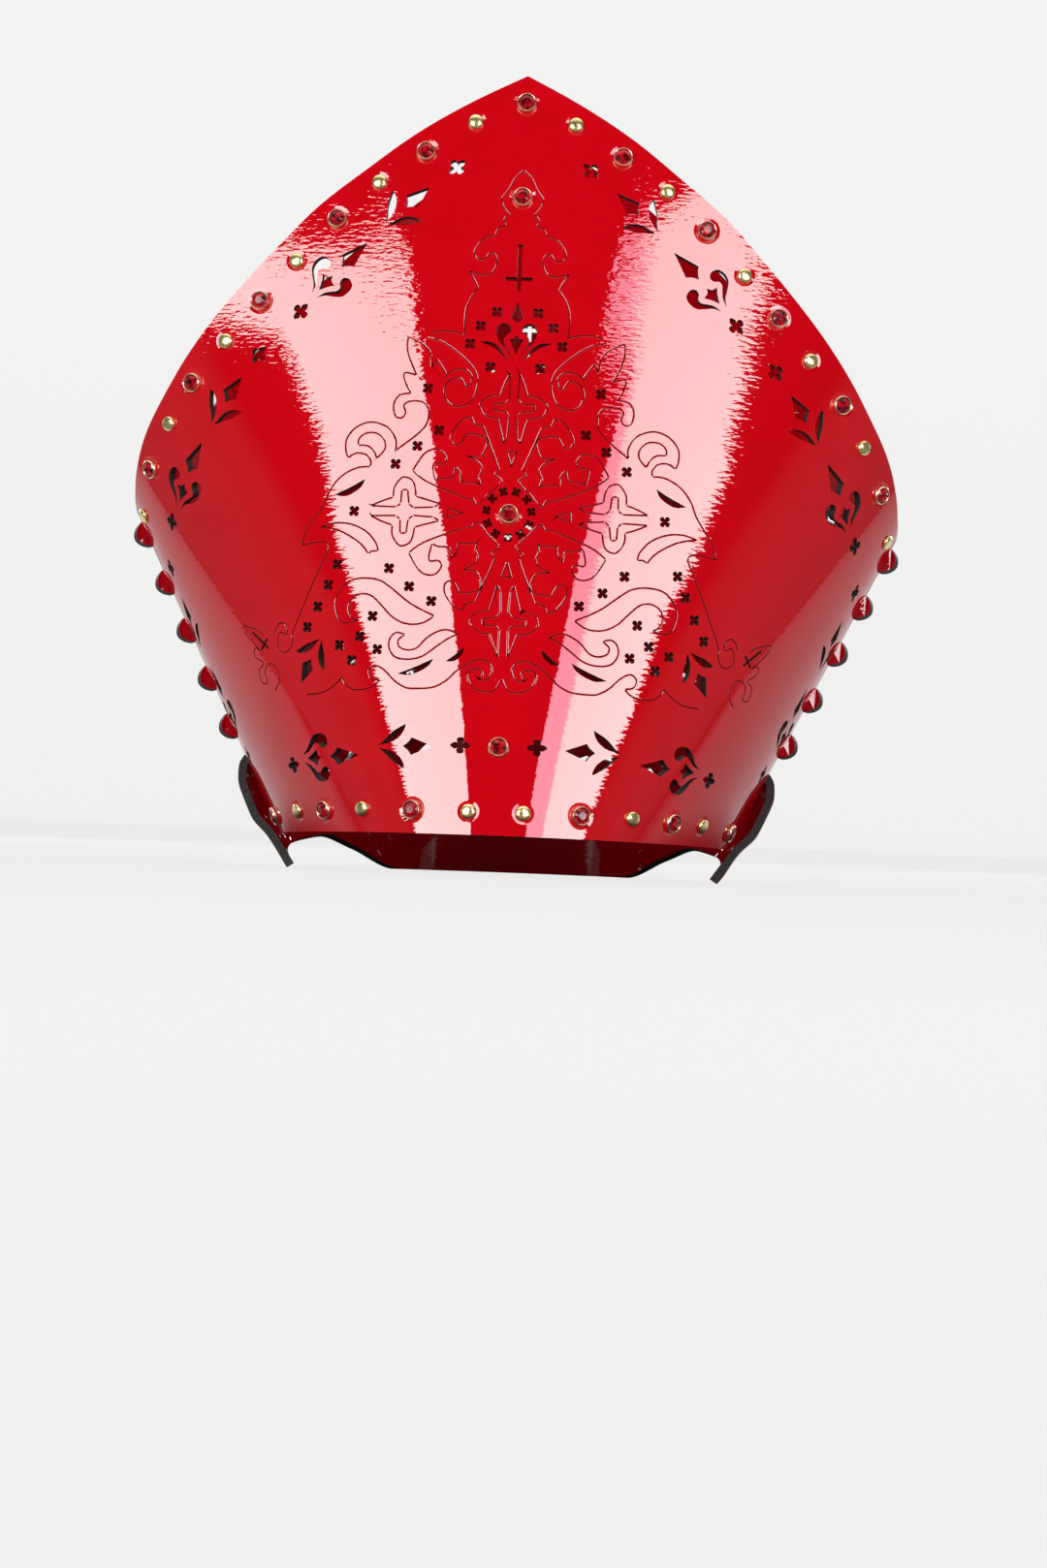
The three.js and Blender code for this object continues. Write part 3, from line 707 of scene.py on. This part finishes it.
SCROLL = [
    (465, 879, 1), (371, 854), (263, 779), (203, 712), (189, 637), (219, 562), (285, 532),
    (340, 556), (358, 616), (332, 663), (287, 679), (265, 662), (252, 633, 1), (222, 653),
    (224, 695), (260, 722), (315, 715), (354, 686, 1), (358, 706), (404, 772, 1), (416, 748),
    (430, 728, 1), (438, 798), (476, 841), (555, 881, 1), (560, 831), (544, 771), (504, 685, 1),
    (568, 696), (556, 639), (527, 594, 1), (589, 582), (616, 532), (603, 477), (571, 469),
    (552, 496), (563, 531), (535, 552), (470, 552), (436, 516), (438, 448), (485, 389),
    (597, 302, 1), (594, 352), (634, 415), (723, 445), (804, 417), (851, 358), (852, 298),
    (839, 263, 1), (798, 287), (748, 281), (721, 250), (722, 220, 1), (780, 216), (841, 190),
    (890, 150), (928, 95), (955, 30), (1000, -40), (1042, -102), (1063, -177, 1), (981, -160),
    (940, -160), (923, -175), (924, -202), (970, -303), (1032, -453), (1095, -610), (1093, -637),
    (1099, -675), (1122, -706), (1153, -704), (1176, -669), (1170, -617), (1154, -610),
    (1131, -621), (1126, -591), (1145, -565), (1176, -571), (1195, -616, 1)]
HORN = [
    (689, 262, 1), (650, 311), (657, 358), (701, 390), (756, 386), (788, 357), (789, 327, 1),
    (742, 325), (708, 300), (689, 262, 1)]
BAND = [
    (661, -201, 1), (675, -159), (728, -103), (811, -68), (893, -64), (962, -84, 1), (907, -92),
    (838, -114), (755, -164), (710, -215, 1), (693, -201), (661, -201, 1)]
LONG_SCROLL = [
    (356, -516, 1), (477, -460), (590, -378), (646, -346), (720, -336), (796, -349), (845, -389),
    (873, -457), (858, -526), (827, -559), (786, -556), (752, -548, 1), (786, -528), (803, -486),
    (786, -440), (738, -415), (684, -424), (630, -470), (576, -523), (515, -554), (453, -560),
    (403, -547), (356, -516, 1)]
SHORT_SCROLL = [
    (232, -603, 1), (277, -584), (329, -590), (390, -626), (435, -674), (481, -688), (526, -675),
    (536, -641), (502, -612, 1), (547, -603), (578, -632), (582, -677), (549, -723), (482, -734),
    (407, -716), (331, -661), (278, -625), (232, -603, 1)]
FOOT = [
    (0, -816, 1), (37, -875), (97, -880), (149, -857), (175, -808), (163, -778), (125, -771),
    (98, -789), (102, -812), (121, -822, 1), (85, -826), (59, -807), (50, -770), (72, -738),
    (116, -725), (169, -744), (230, -784), (283, -835), (351, -869), (449, -877), (489, -872),
    (543, -843), (604, -787), (651, -768), (680, -792), (675, -823), (653, -838), (623, -839, 1),
    (654, -871), (710, -888), (765, -887), (802, -862), (822, -829, 1), (868, -876), (931, -909),
    (1007, -917, 1)]
WING_TIP = [
    (1258, -626, 1), (1285, -601), (1367, -575, 1), (1355, -617), (1308, -667), (1275, -700, 1)]
WING_CURL = [
    (1258, -722), (1291, -688), (1308, -704), (1295, -735), (1252, -764), (1277, -797),
    (1266, -849), (1243, -867), (1229, -850), (1243, -812), (1232, -774), (1201, -766),
    (1171, -796), (1161, -851), (1185, -902)]
LINES = (URN, SCROLL, HORN, BAND, LONG_SCROLL, SHORT_SCROLL, FOOT, WING_TIP, WING_CURL)
print("lines", len(LINES), "and three of the arms,", sum(map(len, LINES)), "places in all")

# %% [markdown]
# Rows of stones and studs follow the top edge and the brim, and three stones go down the middle.
# The rows hold the turn and how far in from the edge each one lies. Each setting is pressed into
# the leather, so the varnish dips round it, and the dip catches the light in a small bright
# crescent.

# %% Rows of settings and the dips round them
EDGE_INSET, BRIM_INSET = 10.0, 8.0
EDGE_ROW = [
    ("jewel", 0, 1), ("stud", 4.9, 0.8), ("jewel", 9.9, 0.85), ("stud", 15, 0.77),
    ("jewel", 20.1, 0.92), ("stud", 25.7, 1.03), ("jewel", 31.5, 1.06), ("stud", 38, 1.03),
    ("jewel", 45.8, 0.87), ("stud", 53.7, 0.82), ("jewel", 63.7, 0.85), ("stud", 77.1, 0.78)]
BRIM_ROW = [
    ("stud", 6.2, 1), ("jewel", 19.5, 1), ("stud", 32.6, 1), ("jewel", 44.5, 0.94),
    ("stud", 56, 0.9), ("jewel", 73, 0.75)]
MIDDLE_ROW = [0.717, -0.011, -0.715]
DIP_FOOT, DIP_WIDTH, DIP_DEPTH = {"jewel": 3.3, "stud": 2.4}, 1.7, 0.2
DIP_PROUD, DIP_SIDES = 0.03, 24


def settings(hem):
    rows = [(kind, turn, top_edge(turn) - EDGE_INSET * drop) for kind, turn, drop in EDGE_ROW]
    rows += [(kind, turn, hem(turn) + BRIM_INSET * lift) for kind, turn, lift in BRIM_ROW]
    rows += [("jewel", 0, height_at(rise)) for rise in MIDDLE_ROW]
    return [(kind, side * turn, height) for kind, turn, height in rows
            for side in ((1,) if turn == 0 else (-1, 1))]


def add_dip(mesh, point, turn, height, foot):
    rings = []
    for radius, up in ((foot + DIP_WIDTH, DIP_PROUD), (foot, -DIP_DEPTH)):
        ring = []
        for k in range(DIP_SIDES):
            way = 2 * pi * k / DIP_SIDES
            spot = over(point, turn, height, radius * cos(way), radius * sin(way))
            ring.append(point(*spot) + directions(point, *spot)[2] * up * MM)
        rings.append(ring)
    add_prism(mesh, *rings, slot=SHOULDER_SLOT)


print("settings on each sheet", len(settings(front_hem)))

# %% [markdown]
# A scored line is cut with a long thin wedge that follows it, so it's a real groove with two
# walls. The wedge has two slopes: steep in the groove and nearly flat beside it, where the blade
# presses the varnish down. Those polished shoulders give the thin bright glints. Each line is
# split at its sharp turns, and each piece gets a wedge of its own that stops just short of the
# turn.

# %% One scored line
SCORE_GAP = 0.22
SCORE_PROFILE = [(0.46, 0.025), (-0.46, 0.025), (-0.19, -0.04), (0, -0.45), (0.19, -0.04)]


def strokes(path):
    """Pieces of a path between its sharp turns, as lists of places on the drawing."""
    rows = with_corners(path)
    piece = [rows[0]]
    for row in rows[1:]:
        piece.append(row)
        if row[2]:
            yield curve_through(piece, closed=False, steps=4)
            piece = [row]
    if len(piece) > 1:
        yield curve_through(piece, closed=False, steps=4)


def add_score(mesh, point, places):
    spots, outs = [], []
    for x, y in places:
        place = drawn(x, y)
        spots.append(point(*place))
        outs.append(directions(point, *place)[2])
    gap = SCORE_GAP * MM
    spots[0] = spots[0] + (spots[1] - spots[0]).normalized() * gap
    spots[-1] = spots[-1] + (spots[-2] - spots[-1]).normalized() * gap
    rings = []
    for i, (spot, out) in enumerate(zip(spots, outs)):
        ahead = spots[min(i + 1, len(spots) - 1)] - spots[max(i - 1, 0)]
        side = ahead.cross(out).normalized() * MM
        rings.append([mesh.verts.new(spot + side * across + out * up * MM)
                      for across, up in SCORE_PROFILE])
    ends = [mesh.faces.new(rings[0]), mesh.faces.new(list(reversed(rings[-1])))]
    count = len(SCORE_PROFILE)
    for a, b in zip(rings, rings[1:]):
        for k in range(count):
            n = (k + 1) % count
            slot = SHOULDER_SLOT if k in (1, count - 1) else GROOVE_SLOT
            for corners in ((a[k], b[k], b[n]), (a[k], b[n], a[n])):
                mesh.faces.new(corners).material_index = slot
    for end in ends:
        end.material_index = GROOVE_SLOT


print("pieces of the urn's line", len(list(strokes(URN))))

# %% [markdown]
# The tables hold the right half of the drawing, and one arm of the medal. Mirrored and turned
# copies make the rest. The grooves and the dips are joined into one mesh and cut in one go.

# %% All lines and dips on both sheets
def turned_to_side(path):
    """A line of the upper arm turned to lie on the right arm."""
    return [(y, -x, *sharp) for x, y, *sharp in path]


def mirrored_line(path, side, up=1):
    return [(side * x, up * y, *sharp) for x, y, *sharp in path]


def every_line():
    for side in (-1, 1):
        for path in LINES:
            yield mirrored_line(path, side)
        for up in (-1, 1):
            for path in (BLADE, LEAF, turned_to_side(BLADE)):
                yield mirrored_line(path, side, up)
        yield mirrored_line(WEDGE, 1, side)
        yield mirrored_line(turned_to_side(WEDGE), side)


def score(sheet, point, hem):
    wedges = bmesh.new()
    for kind, turn, height in settings(hem):
        add_dip(wedges, point, turn, height, DIP_FOOT[kind])
    for path in every_line():
        for places in strokes(path):
            add_score(wedges, point, places)
    cut(sheet, tool_from(wedges, sheet.name + "_scores"))


score(front, front_point, front_hem)
score(back, back_point, back_hem)

# %% [markdown]
# The two sheets are locked by tabs: five on each side of the back sheet bend outwards and come
# through slits in the front one. Below them the front sheet ends, and the corner of the back sheet
# flares out past it.

# %% Slits, notches and tabs
TAB_DROP, TAB_PITCH, TAB_COUNT = 7.0, 17.4, 5
TAB_HALF, TAB_BEND, SLIT_AIR = 4.9, 28, 0.4
NOTCH_WIDTH, NOTCH_DEPTH = 0.4, 0.2
TAB = [
    (-7.5, 4.9, 1), (0.1, 4.9, 1), (2.4, 3.5), (3.9, 1.4), (4.2, -0.8), (2.7, -3.2), (0, -4.9, 1),
    (-7.5, -4.9, 1)]


def plate(mesh, side, height, outline, gap, steps, bend=0.0):
    """A plate square to the mitre's side, drawn in steps out and up, and bent forward outside."""
    root = front_point(side * BACK_WING, height)
    out = directions(front_point, side * 90, height)[2]
    out = Vector((out.x, 0, out.z)).normalized()
    up = Vector((side * SPREAD, 0, 1)).normalized()
    behind = Vector((0, 1, 0))
    near, far = [], []
    for o, u in curve_through(outline, steps=steps):
        lean = radians(bend) if o > 0 else 0.0
        through = out * sin(lean) + behind * cos(lean)
        spot = root + ((out * cos(lean) - behind * sin(lean)) * o + up * u) * MM
        near.append(spot - through * gap * MM)
        far.append(spot + through * (LEATHER + gap) * MM)
    add_prism(mesh, near, far)


slits = bmesh.new()
SLIT = [(-5, TAB_HALF + SLIT_AIR, 1), (3, TAB_HALF + SLIT_AIR, 1), (3, -TAB_HALF - SLIT_AIR, 1),
        (-5, -TAB_HALF - SLIT_AIR, 1)]
tab_heights = [SHOULDER - TAB_DROP - i * TAB_PITCH for i in range(TAB_COUNT)]
for side in (-1, 1):
    for height in tab_heights:
        plate(slits, side, height, SLIT, SLIT_AIR, 1)
cut(front, tool_from(slits, "slits"))

notch = bmesh.new()
bmesh.ops.create_cube(notch, size=1)
edge_y = front_point(BACK_WING, BRIM).y - NOTCH_AIR * MM
for vertex in notch.verts:
    x, y, z = vertex.co
    vertex.co = (x * NOTCH_WIDTH, edge_y + (y + 0.5) * NOTCH_DEPTH, z * 2 * NOTCH_HEIGHT * MM)
for face in notch.faces:
    face.material_index = EDGE_SLOT
cut(front, tool_from(notch, "notch"))

for side in (-1, 1):
    for index, height in enumerate(tab_heights):
        tab_mesh = bmesh.new()
        plate(tab_mesh, side, height, TAB, 0.0, 5, bend=TAB_BEND)
        tab = tool_from(tab_mesh, f"tab_{'left' if side < 0 else 'right'}_{index + 1}")
        for face in tab.data.polygons:
            # The face towards the front takes the darker inside red, which is painted shade.
            facing = face.normal.y
            face.material_index = (INSIDE_SLOT if facing < -0.7 else
                                   OUTSIDE_SLOT if facing > 0.7 else EDGE_SLOT)
        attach(tab, "root")

# %% [markdown]
# Cutting leaves long thin faces whose own normals would bend the mirror bands near each hole. The
# uncut surface is known exactly, so the red faces borrow the normals of a fresh uncut sheet: for
# every corner of a face the nearest spot on the fresh sheet is found, and its normal is stored.

# %% Mirror-smooth normals
def borrow_normals(piece, fresh):
    fresh.data.calc_loop_triangles()
    triangles = [tuple(t.vertices) for t in fresh.data.loop_triangles]
    normals = [v.normal.copy() for v in fresh.data.vertices]
    points = [v.co.copy() for v in fresh.data.vertices]
    tree = BVHTree.FromPolygons(points, triangles)
    found = {}

    def normal_at(index):
        if index not in found:
            spot, _, face, _ = tree.find_nearest(piece.data.vertices[index].co)
            a, b, c = triangles[face]
            total = (points[b] - points[a]).cross(points[c] - points[a]).length
            wa = (points[b] - spot).cross(points[c] - spot).length / total
            wb = (points[c] - spot).cross(points[a] - spot).length / total
            wc = max(0.0, 1 - wa - wb)
            found[index] = (normals[a] * wa + normals[b] * wb + normals[c] * wc).normalized()
        return found[index]

    corners = [Vector((0, 0, 0))] * len(piece.data.loops)
    for face in piece.data.polygons:
        face.use_smooth = True
        for loop in face.loop_indices:
            vertex = piece.data.loops[loop].vertex_index
            if face.material_index == OUTSIDE_SLOT:
                corners[loop] = normal_at(vertex)
            elif face.material_index == INSIDE_SLOT:
                corners[loop] = -normal_at(vertex)
            else:
                corners[loop] = face.normal.copy()
    piece.data.normals_split_custom_set(corners)
    print(piece.name, "normals from", fresh.name)


for sheet, point, half_turn, hem, body in (
        (front, front_point, FRONT_WING, front_hem, "front_panel"),
        (back, back_point, 180 - BACK_WING, back_hem, "back_panel")):
    fresh = sheet_grid("fresh", point, half_turn, hem, 240, 60)
    fresh.data.update()
    borrow_normals(sheet, fresh)
    bpy.data.objects.remove(fresh, do_unlink=True)
    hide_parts(body)
    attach(sheet, "root")

# %% [markdown]
# The stones sit in round gold cups with a rolled rim. A cup or a stud is built from its profile:
# a ring of points for each row, or one point on the axis, and faces between one ring and the
# next. It is made once, flat on the origin, and copied to each place later.

# %% A gold cup and a dome stud
CUP_PROFILE = [
    (0, -0.4), (3.2, -0.4), (3.45, 0.0), (3.5, 0.5), (3.46, 1.0), (3.34, 1.4), (3.14, 1.56),
    (2.95, 1.5), (2.84, 1.25), (2.8, 0.9), (0, 0.7)]
STUD_PROFILE = [
    (0, -0.4), (2.5, -0.4), (2.7, 0.0), (2.72, 0.35), (2.6, 0.75), (2.3, 1.05), (1.75, 1.27),
    (0.95, 1.4), (0, 1.44)]


def turned(name, profile, sides, material):
    deselect_all()
    bpy.ops.mesh.primitive_circle_add(vertices=3, radius=1)
    piece = bpy.context.object
    piece.name = name
    shape = bmesh.new()
    rings = []
    for r, h in profile:
        ways = [2 * pi * k / sides for k in range(sides if r else 1)]
        rings.append([shape.verts.new((r * MM * cos(way), r * MM * sin(way), h * MM))
                      for way in ways])
    for lower, upper in zip(rings, rings[1:]):
        for k in range(sides):
            n = (k + 1) % sides
            corners = [ring[place % len(ring)] for ring, place in
                       ((lower, k), (lower, n), (upper, n), (upper, k))]
            shape.faces.new(list(dict.fromkeys(corners)))
    bmesh.ops.recalc_face_normals(shape, faces=shape.faces[:])
    shape.to_mesh(piece.data)
    shape.free()
    piece.data.materials.append(material)
    only(piece)
    bpy.ops.object.shade_smooth_by_angle(angle=radians(50))
    return piece


cup_master = turned("cup_master", CUP_PROFILE, 40, cup_gold)
stud_master = turned("stud_master", STUD_PROFILE, 32, stud_gold)
print("cup", len(cup_master.data.polygons), "stud", len(stud_master.data.polygons))

# %% [markdown]
# A stone starts as a short cylinder. Its top is inset and lifted twice, which leaves a flat table
# between two rows of slanting facets.

# %% A cut stone
STONE_SIDES, STONE_RADIUS, STONE_DEPTH, STONE_MIDDLE = 16, 2.83, 0.9, 0.65
STONE_STEPS = [(0.5, 0.45), (0.95, 0.55)]


def cut_stone(name):
    deselect_all()
    bpy.ops.mesh.primitive_cylinder_add(
        vertices=STONE_SIDES, radius=STONE_RADIUS * MM, depth=STONE_DEPTH * MM,
        location=(0, 0, STONE_MIDDLE * MM))
    piece = bpy.context.object
    piece.name = name
    bpy.ops.object.transform_apply(location=True, rotation=True, scale=True)
    bpy.ops.object.mode_set(mode="EDIT")
    bpy.ops.mesh.select_mode(type="FACE")
    bpy.ops.mesh.select_all(action="DESELECT")
    shape = bmesh.from_edit_mesh(piece.data)
    for face in shape.faces:
        face.select_set(face.normal.z > 0.9)
    bmesh.update_edit_mesh(piece.data)
    for inset, lift in STONE_STEPS:
        bpy.ops.mesh.inset(thickness=inset * MM)
        bpy.ops.transform.translate(value=(0, 0, lift * MM))
    bpy.ops.transform.rotate(
        value=pi / STONE_SIDES, orient_axis="Z", center_override=(0, 0, 0))
    bpy.ops.object.mode_set(mode="OBJECT")
    piece.data.materials.append(stone)
    return piece


stone_master = cut_stone("stone_master")
print("stone", len(stone_master.data.polygons))

# %% [markdown]
# Each copy has a mesh of its own. It is turned square to the leather, and its place is written
# into that mesh, so the object stays at the origin, as the solids do. Each stone is spun a step
# further than the one before, so that no two catch the light alike.

# %% Stones and studs in their places
STONE_SPIN = 1.3


def placed(master, name, point, turn, height, spin):
    copy = bpy.data.objects.new(name, master.data.copy())
    bpy.context.collection.objects.link(copy)
    out = directions(point, turn, height)[2]
    turn_to = out.to_track_quat("Z", "Y")
    for vertex in copy.data.vertices:
        x, y, z = vertex.co
        vertex.co = point(turn, height) + turn_to @ Vector((
            x * cos(spin) - y * sin(spin), x * sin(spin) + y * cos(spin), z))
    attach(copy, "root")
    return copy


def dress(prefix, point, hem):
    counts = {"jewel": 0, "stud": 0}
    for kind, turn, height in settings(hem):
        counts[kind] += 1
        number = counts[kind]
        if kind == "jewel":
            cup = placed(cup_master, f"{prefix}_cup_{number}", point, turn, height, 0)
            gem = placed(
                stone_master, f"{prefix}_stone_{number}", point, turn, height, number * STONE_SPIN)
            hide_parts(f"{prefix}_jewel_{number}")
        else:
            dome = placed(stud_master, f"{prefix}_dome_{number}", point, turn, height, 0)
            if prefix == "front":
                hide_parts(f"front_stud_{number}")
    print(prefix, counts)


dress("front", front_point, front_hem)
dress("back", back_point, back_hem)
for master in (cup_master, stud_master, stone_master):
    bpy.data.objects.remove(master, do_unlink=True)

# %% [markdown]
# The studio is a plain pale floor with pale air behind it, lit so evenly that no horizon shows.
# The camera sees the floor glow a little by itself, as a white table lit from below does, and that
# keeps it even. The mitre's shadow lies only in the rest of its light. The varnish mirrors a
# darker floor, because a bright one would wash out the red sides: no glow close round the mitre, a
# dim one in front and at the sides, and a brighter one behind.

# %% Pale floor
FLOOR_RADIUS, FLOOR_GLOW = 14, 0.8


def pale_floor():
    deselect_all()
    bpy.ops.mesh.primitive_circle_add(vertices=96, radius=FLOOR_RADIUS, fill_type="NGON")
    floor = bpy.context.object
    floor.name = "pale_floor"
    material, tree = new_material("paper")
    place = object_place(tree)
    parts = parts_of(tree, place)
    base = ramp(tree, noise(tree, place, 2.0, 2.0), [(0.3, grey(0.045)), (0.7, grey(0.048))])
    plain = node(tree, "ShaderNodeBsdfDiffuse", {}, {"Color": base})["BSDF"]
    glow = glowing(tree, (1.0, 0.995, 0.985, 1), FLOOR_GLOW)
    far = node(tree, "ShaderNodeVectorMath", {"operation": "LENGTH"}, {0: place})["Value"]
    clear = eased(tree, far, 0.1, 0.17, 0.0, 1.0)
    beyond = greater(size_of(tree, parts["X"]) - 0.45, 0.0)
    ahead = node(tree, "ShaderNodeMapRange", {}, {
        "Value": parts["Y"] - beyond * 1.2, "From Min": -0.25, "From Max": 0.05,
        "To Min": 0.0, "To Max": 1.0})[0]
    bands = ramp(tree, ahead, [
        (0.0, grey(0.17)), (0.42, grey(0.17)), (0.5, grey(0.05)), (0.6, grey(0.5)),
        (1.0, grey(0.68))])
    mirrored_glow = glowing(tree, bands, clear)
    lit = node(tree, "ShaderNodeAddShader", {}, {0: plain, 1: glow})["Shader"]
    dim = node(tree, "ShaderNodeAddShader", {}, {0: plain, 1: mirrored_glow})["Shader"]
    seen = node(tree, "ShaderNodeLightPath", {}, {})["Is Camera Ray"]
    both = node(tree, "ShaderNodeMixShader", {}, {0: seen, 1: dim, 2: lit})["Shader"]
    node(tree, "ShaderNodeOutputMaterial", {}, {"Surface": both})
    floor.data.materials.append(material)
    return floor


print("floor corners", len(pale_floor().data.vertices))

# %% [markdown]
# Two large soft boxes stand in front to the left and right, and each shows in the varnish as a
# tall pale band. A band has a steep inner edge and a slanting outer edge, so the box itself has
# that shape: an area light is a rectangle, and its nodes switch off all of it outside a few
# slanting lines. Parametric is the place on the light, from 0 to 1 each way. A like pair stands
# behind.

# %% Where the soft boxes are lit
def left_shape(x, y):
    """Over 0 where the left box is lit: a slanting edge, a wing below it, and a slanting top."""
    return lesser(greater(x - y * 0.774 - 0.067, y - x * 0.53 - 0.32), x * 0.56 - y + 0.405)


def right_shape(x, y):
    """Over 0 where the right box is lit: a slanting edge, and an inner edge wider at the top."""
    return lesser(0.969 - x - y * 0.768, greater(x - 0.115, x * 1.046 + y - 0.92))

print("shapes", left_shape.__name__, right_shape.__name__)

# %% [markdown]
# The right box has a narrow rose strip beside its inner edge, as a light seen through a thin cloth
# has. The strengths of both fall a little towards the top.

# %% Soft boxes
WHITE, ROSE = (1.0, 0.985, 0.975, 1), (0.76, 0.47, 0.59, 1)
BOX_DISTANCE, BOX_HEIGHT, BOX, BACK_BOX = 1.5, 0.14, 23.0, 10.0


def soft_box(name, azimuth, elevation, middle, size, strength, shape=None, stops=None):
    """A light seen from the mitre at an azimuth from the front, moved in its plane by middle."""
    data = bpy.data.lights.new(name, "AREA")
    data.shape, data.size, data.size_y = "RECTANGLE", size[0], size[1]
    data.energy = strength
    a, e = radians(azimuth), radians(elevation)
    away = Vector((sin(a) * cos(e), -cos(a) * cos(e), sin(e)))
    right = Vector((cos(a), sin(a), 0))
    up = right.cross(-away)
    light = bpy.data.objects.new(name, data)
    bpy.context.collection.objects.link(light)
    light.location = (Vector((0, 0, BOX_HEIGHT)) + away * BOX_DISTANCE
                      + right * middle[0] + up * middle[1])
    light.rotation_euler = (-away).to_track_quat("-Z", "Y").to_euler()
    if shape:
        data.use_nodes = True
        tree = data.node_tree
        tree.nodes.clear()
        spot = node(tree, "ShaderNodeNewGeometry", {}, {})["Parametric"]
        parts = parts_of(tree, spot)
        x, y = parts["X"], parts["Y"]
        lit = shape(x, y)
        inside = lit.sum("GREATER_THAN", lit, 0.0)
        tint = ramp(tree, x * 1.13 + y * 0.475, stops)
        emission = glowing(tree, tint, inside * (1.08 - y * 0.3))
        node(tree, "ShaderNodeOutputLight", {}, {"Surface": emission})
    print(name, [round(place, 2) for place in light.location])


soft_box("box_left", -27, 15, (-0.175, -0.045), (0.95, 0.75), BOX, left_shape,
         [(0.0, WHITE), (1.0, WHITE)])
soft_box("box_right", 25, 15, (0.128, -0.045), (1.073, 0.75), BOX * 1.13, right_shape,
         [(0.0, ROSE), (0.525, ROSE), (0.537, WHITE), (1.0, WHITE)])
soft_box("box_back_left", -150, 18, (0, 0), (0.55, 0.7), BACK_BOX)
soft_box("box_back_right", 150, 18, (0, 0), (0.55, 0.7), BACK_BOX)

# %% [markdown]
# The surround lights the rest. The camera sees it as plain pale air. What the mitre sees is dark
# towards the front and the back, so the red stays deep between the bands, and pale at the sides,
# so the edges of the mitre turn pale where the leather curves away.

# %% Surround
world = bpy.data.worlds.new("surround")
bpy.context.scene.world = world
world.use_nodes = True
tree = world.node_tree
tree.nodes.clear()
path = node(tree, "ShaderNodeLightPath", {}, {})
heading = node(tree, "ShaderNodeTexCoord", {}, {})["Generated"]
ways = parts_of(tree, heading)
round_side = size_of(tree, ways["X"]) + ways["Y"] * 0.8
sides = eased(tree, round_side, 0.12, 0.32, 0.03, 0.17)
behind = eased(tree, round_side, 1.04, 1.16, 0.0, 0.5)
above = eased(tree, ways["Z"], 0.55, 0.95, 0.0, 1.4)
air = node(tree, "ShaderNodeMapRange", {}, {
    "Value": ways["Z"], "From Min": 0.0, "From Max": 0.2, "To Min": 0.872, "To Max": 0.905})[0]
seen = node(tree, "ShaderNodeBackground", {}, {"Color": (1.0, 0.993, 0.988, 1), "Strength": air})
glow = node(tree, "ShaderNodeBackground", {}, {
    "Color": (1.0, 0.99, 0.98, 1), "Strength": sides + behind + above})
mix = node(tree, "ShaderNodeMixShader", {}, {
    0: path["Is Camera Ray"], 1: glow["Background"], 2: seen["Background"]})
node(tree, "ShaderNodeOutputWorld", {}, {"Surface": mix["Shader"]})
bpy.context.scene.view_settings.view_transform = "Standard"
print("surround nodes", len(tree.nodes))

# %% [markdown]
# The camera stands as far away as a portrait lens would, about level with the brim and a touch to
# the right of the middle, and it is rolled a little, because the peak in the picture leans.

# %% Camera
DISTANCE, VIEW_HEIGHT, EYE_HEIGHT = 1.4, 0.580, 0.015
TO_THE_RIGHT, ROLL = radians(2), radians(2.2)
camera_data = bpy.data.cameras.new("camera")
camera_data.sensor_fit = "VERTICAL"
camera_data.angle = 2 * atan(VIEW_HEIGHT / 2 / DISTANCE)
camera_data.clip_start = 0.01
camera = bpy.data.objects.new("camera", camera_data)
bpy.context.collection.objects.link(camera)
camera.location = (
    DISTANCE * sin(TO_THE_RIGHT), -DISTANCE * cos(TO_THE_RIGHT), EYE_HEIGHT)
aim = Vector((0.0063, 0.0002, 0.034))
camera.rotation_euler = (aim - camera.location).to_track_quat("-Z", "Y").to_euler()
camera.rotation_euler.rotate_axis("Z", ROLL)
bpy.context.scene.camera = camera
print("camera", camera.location)
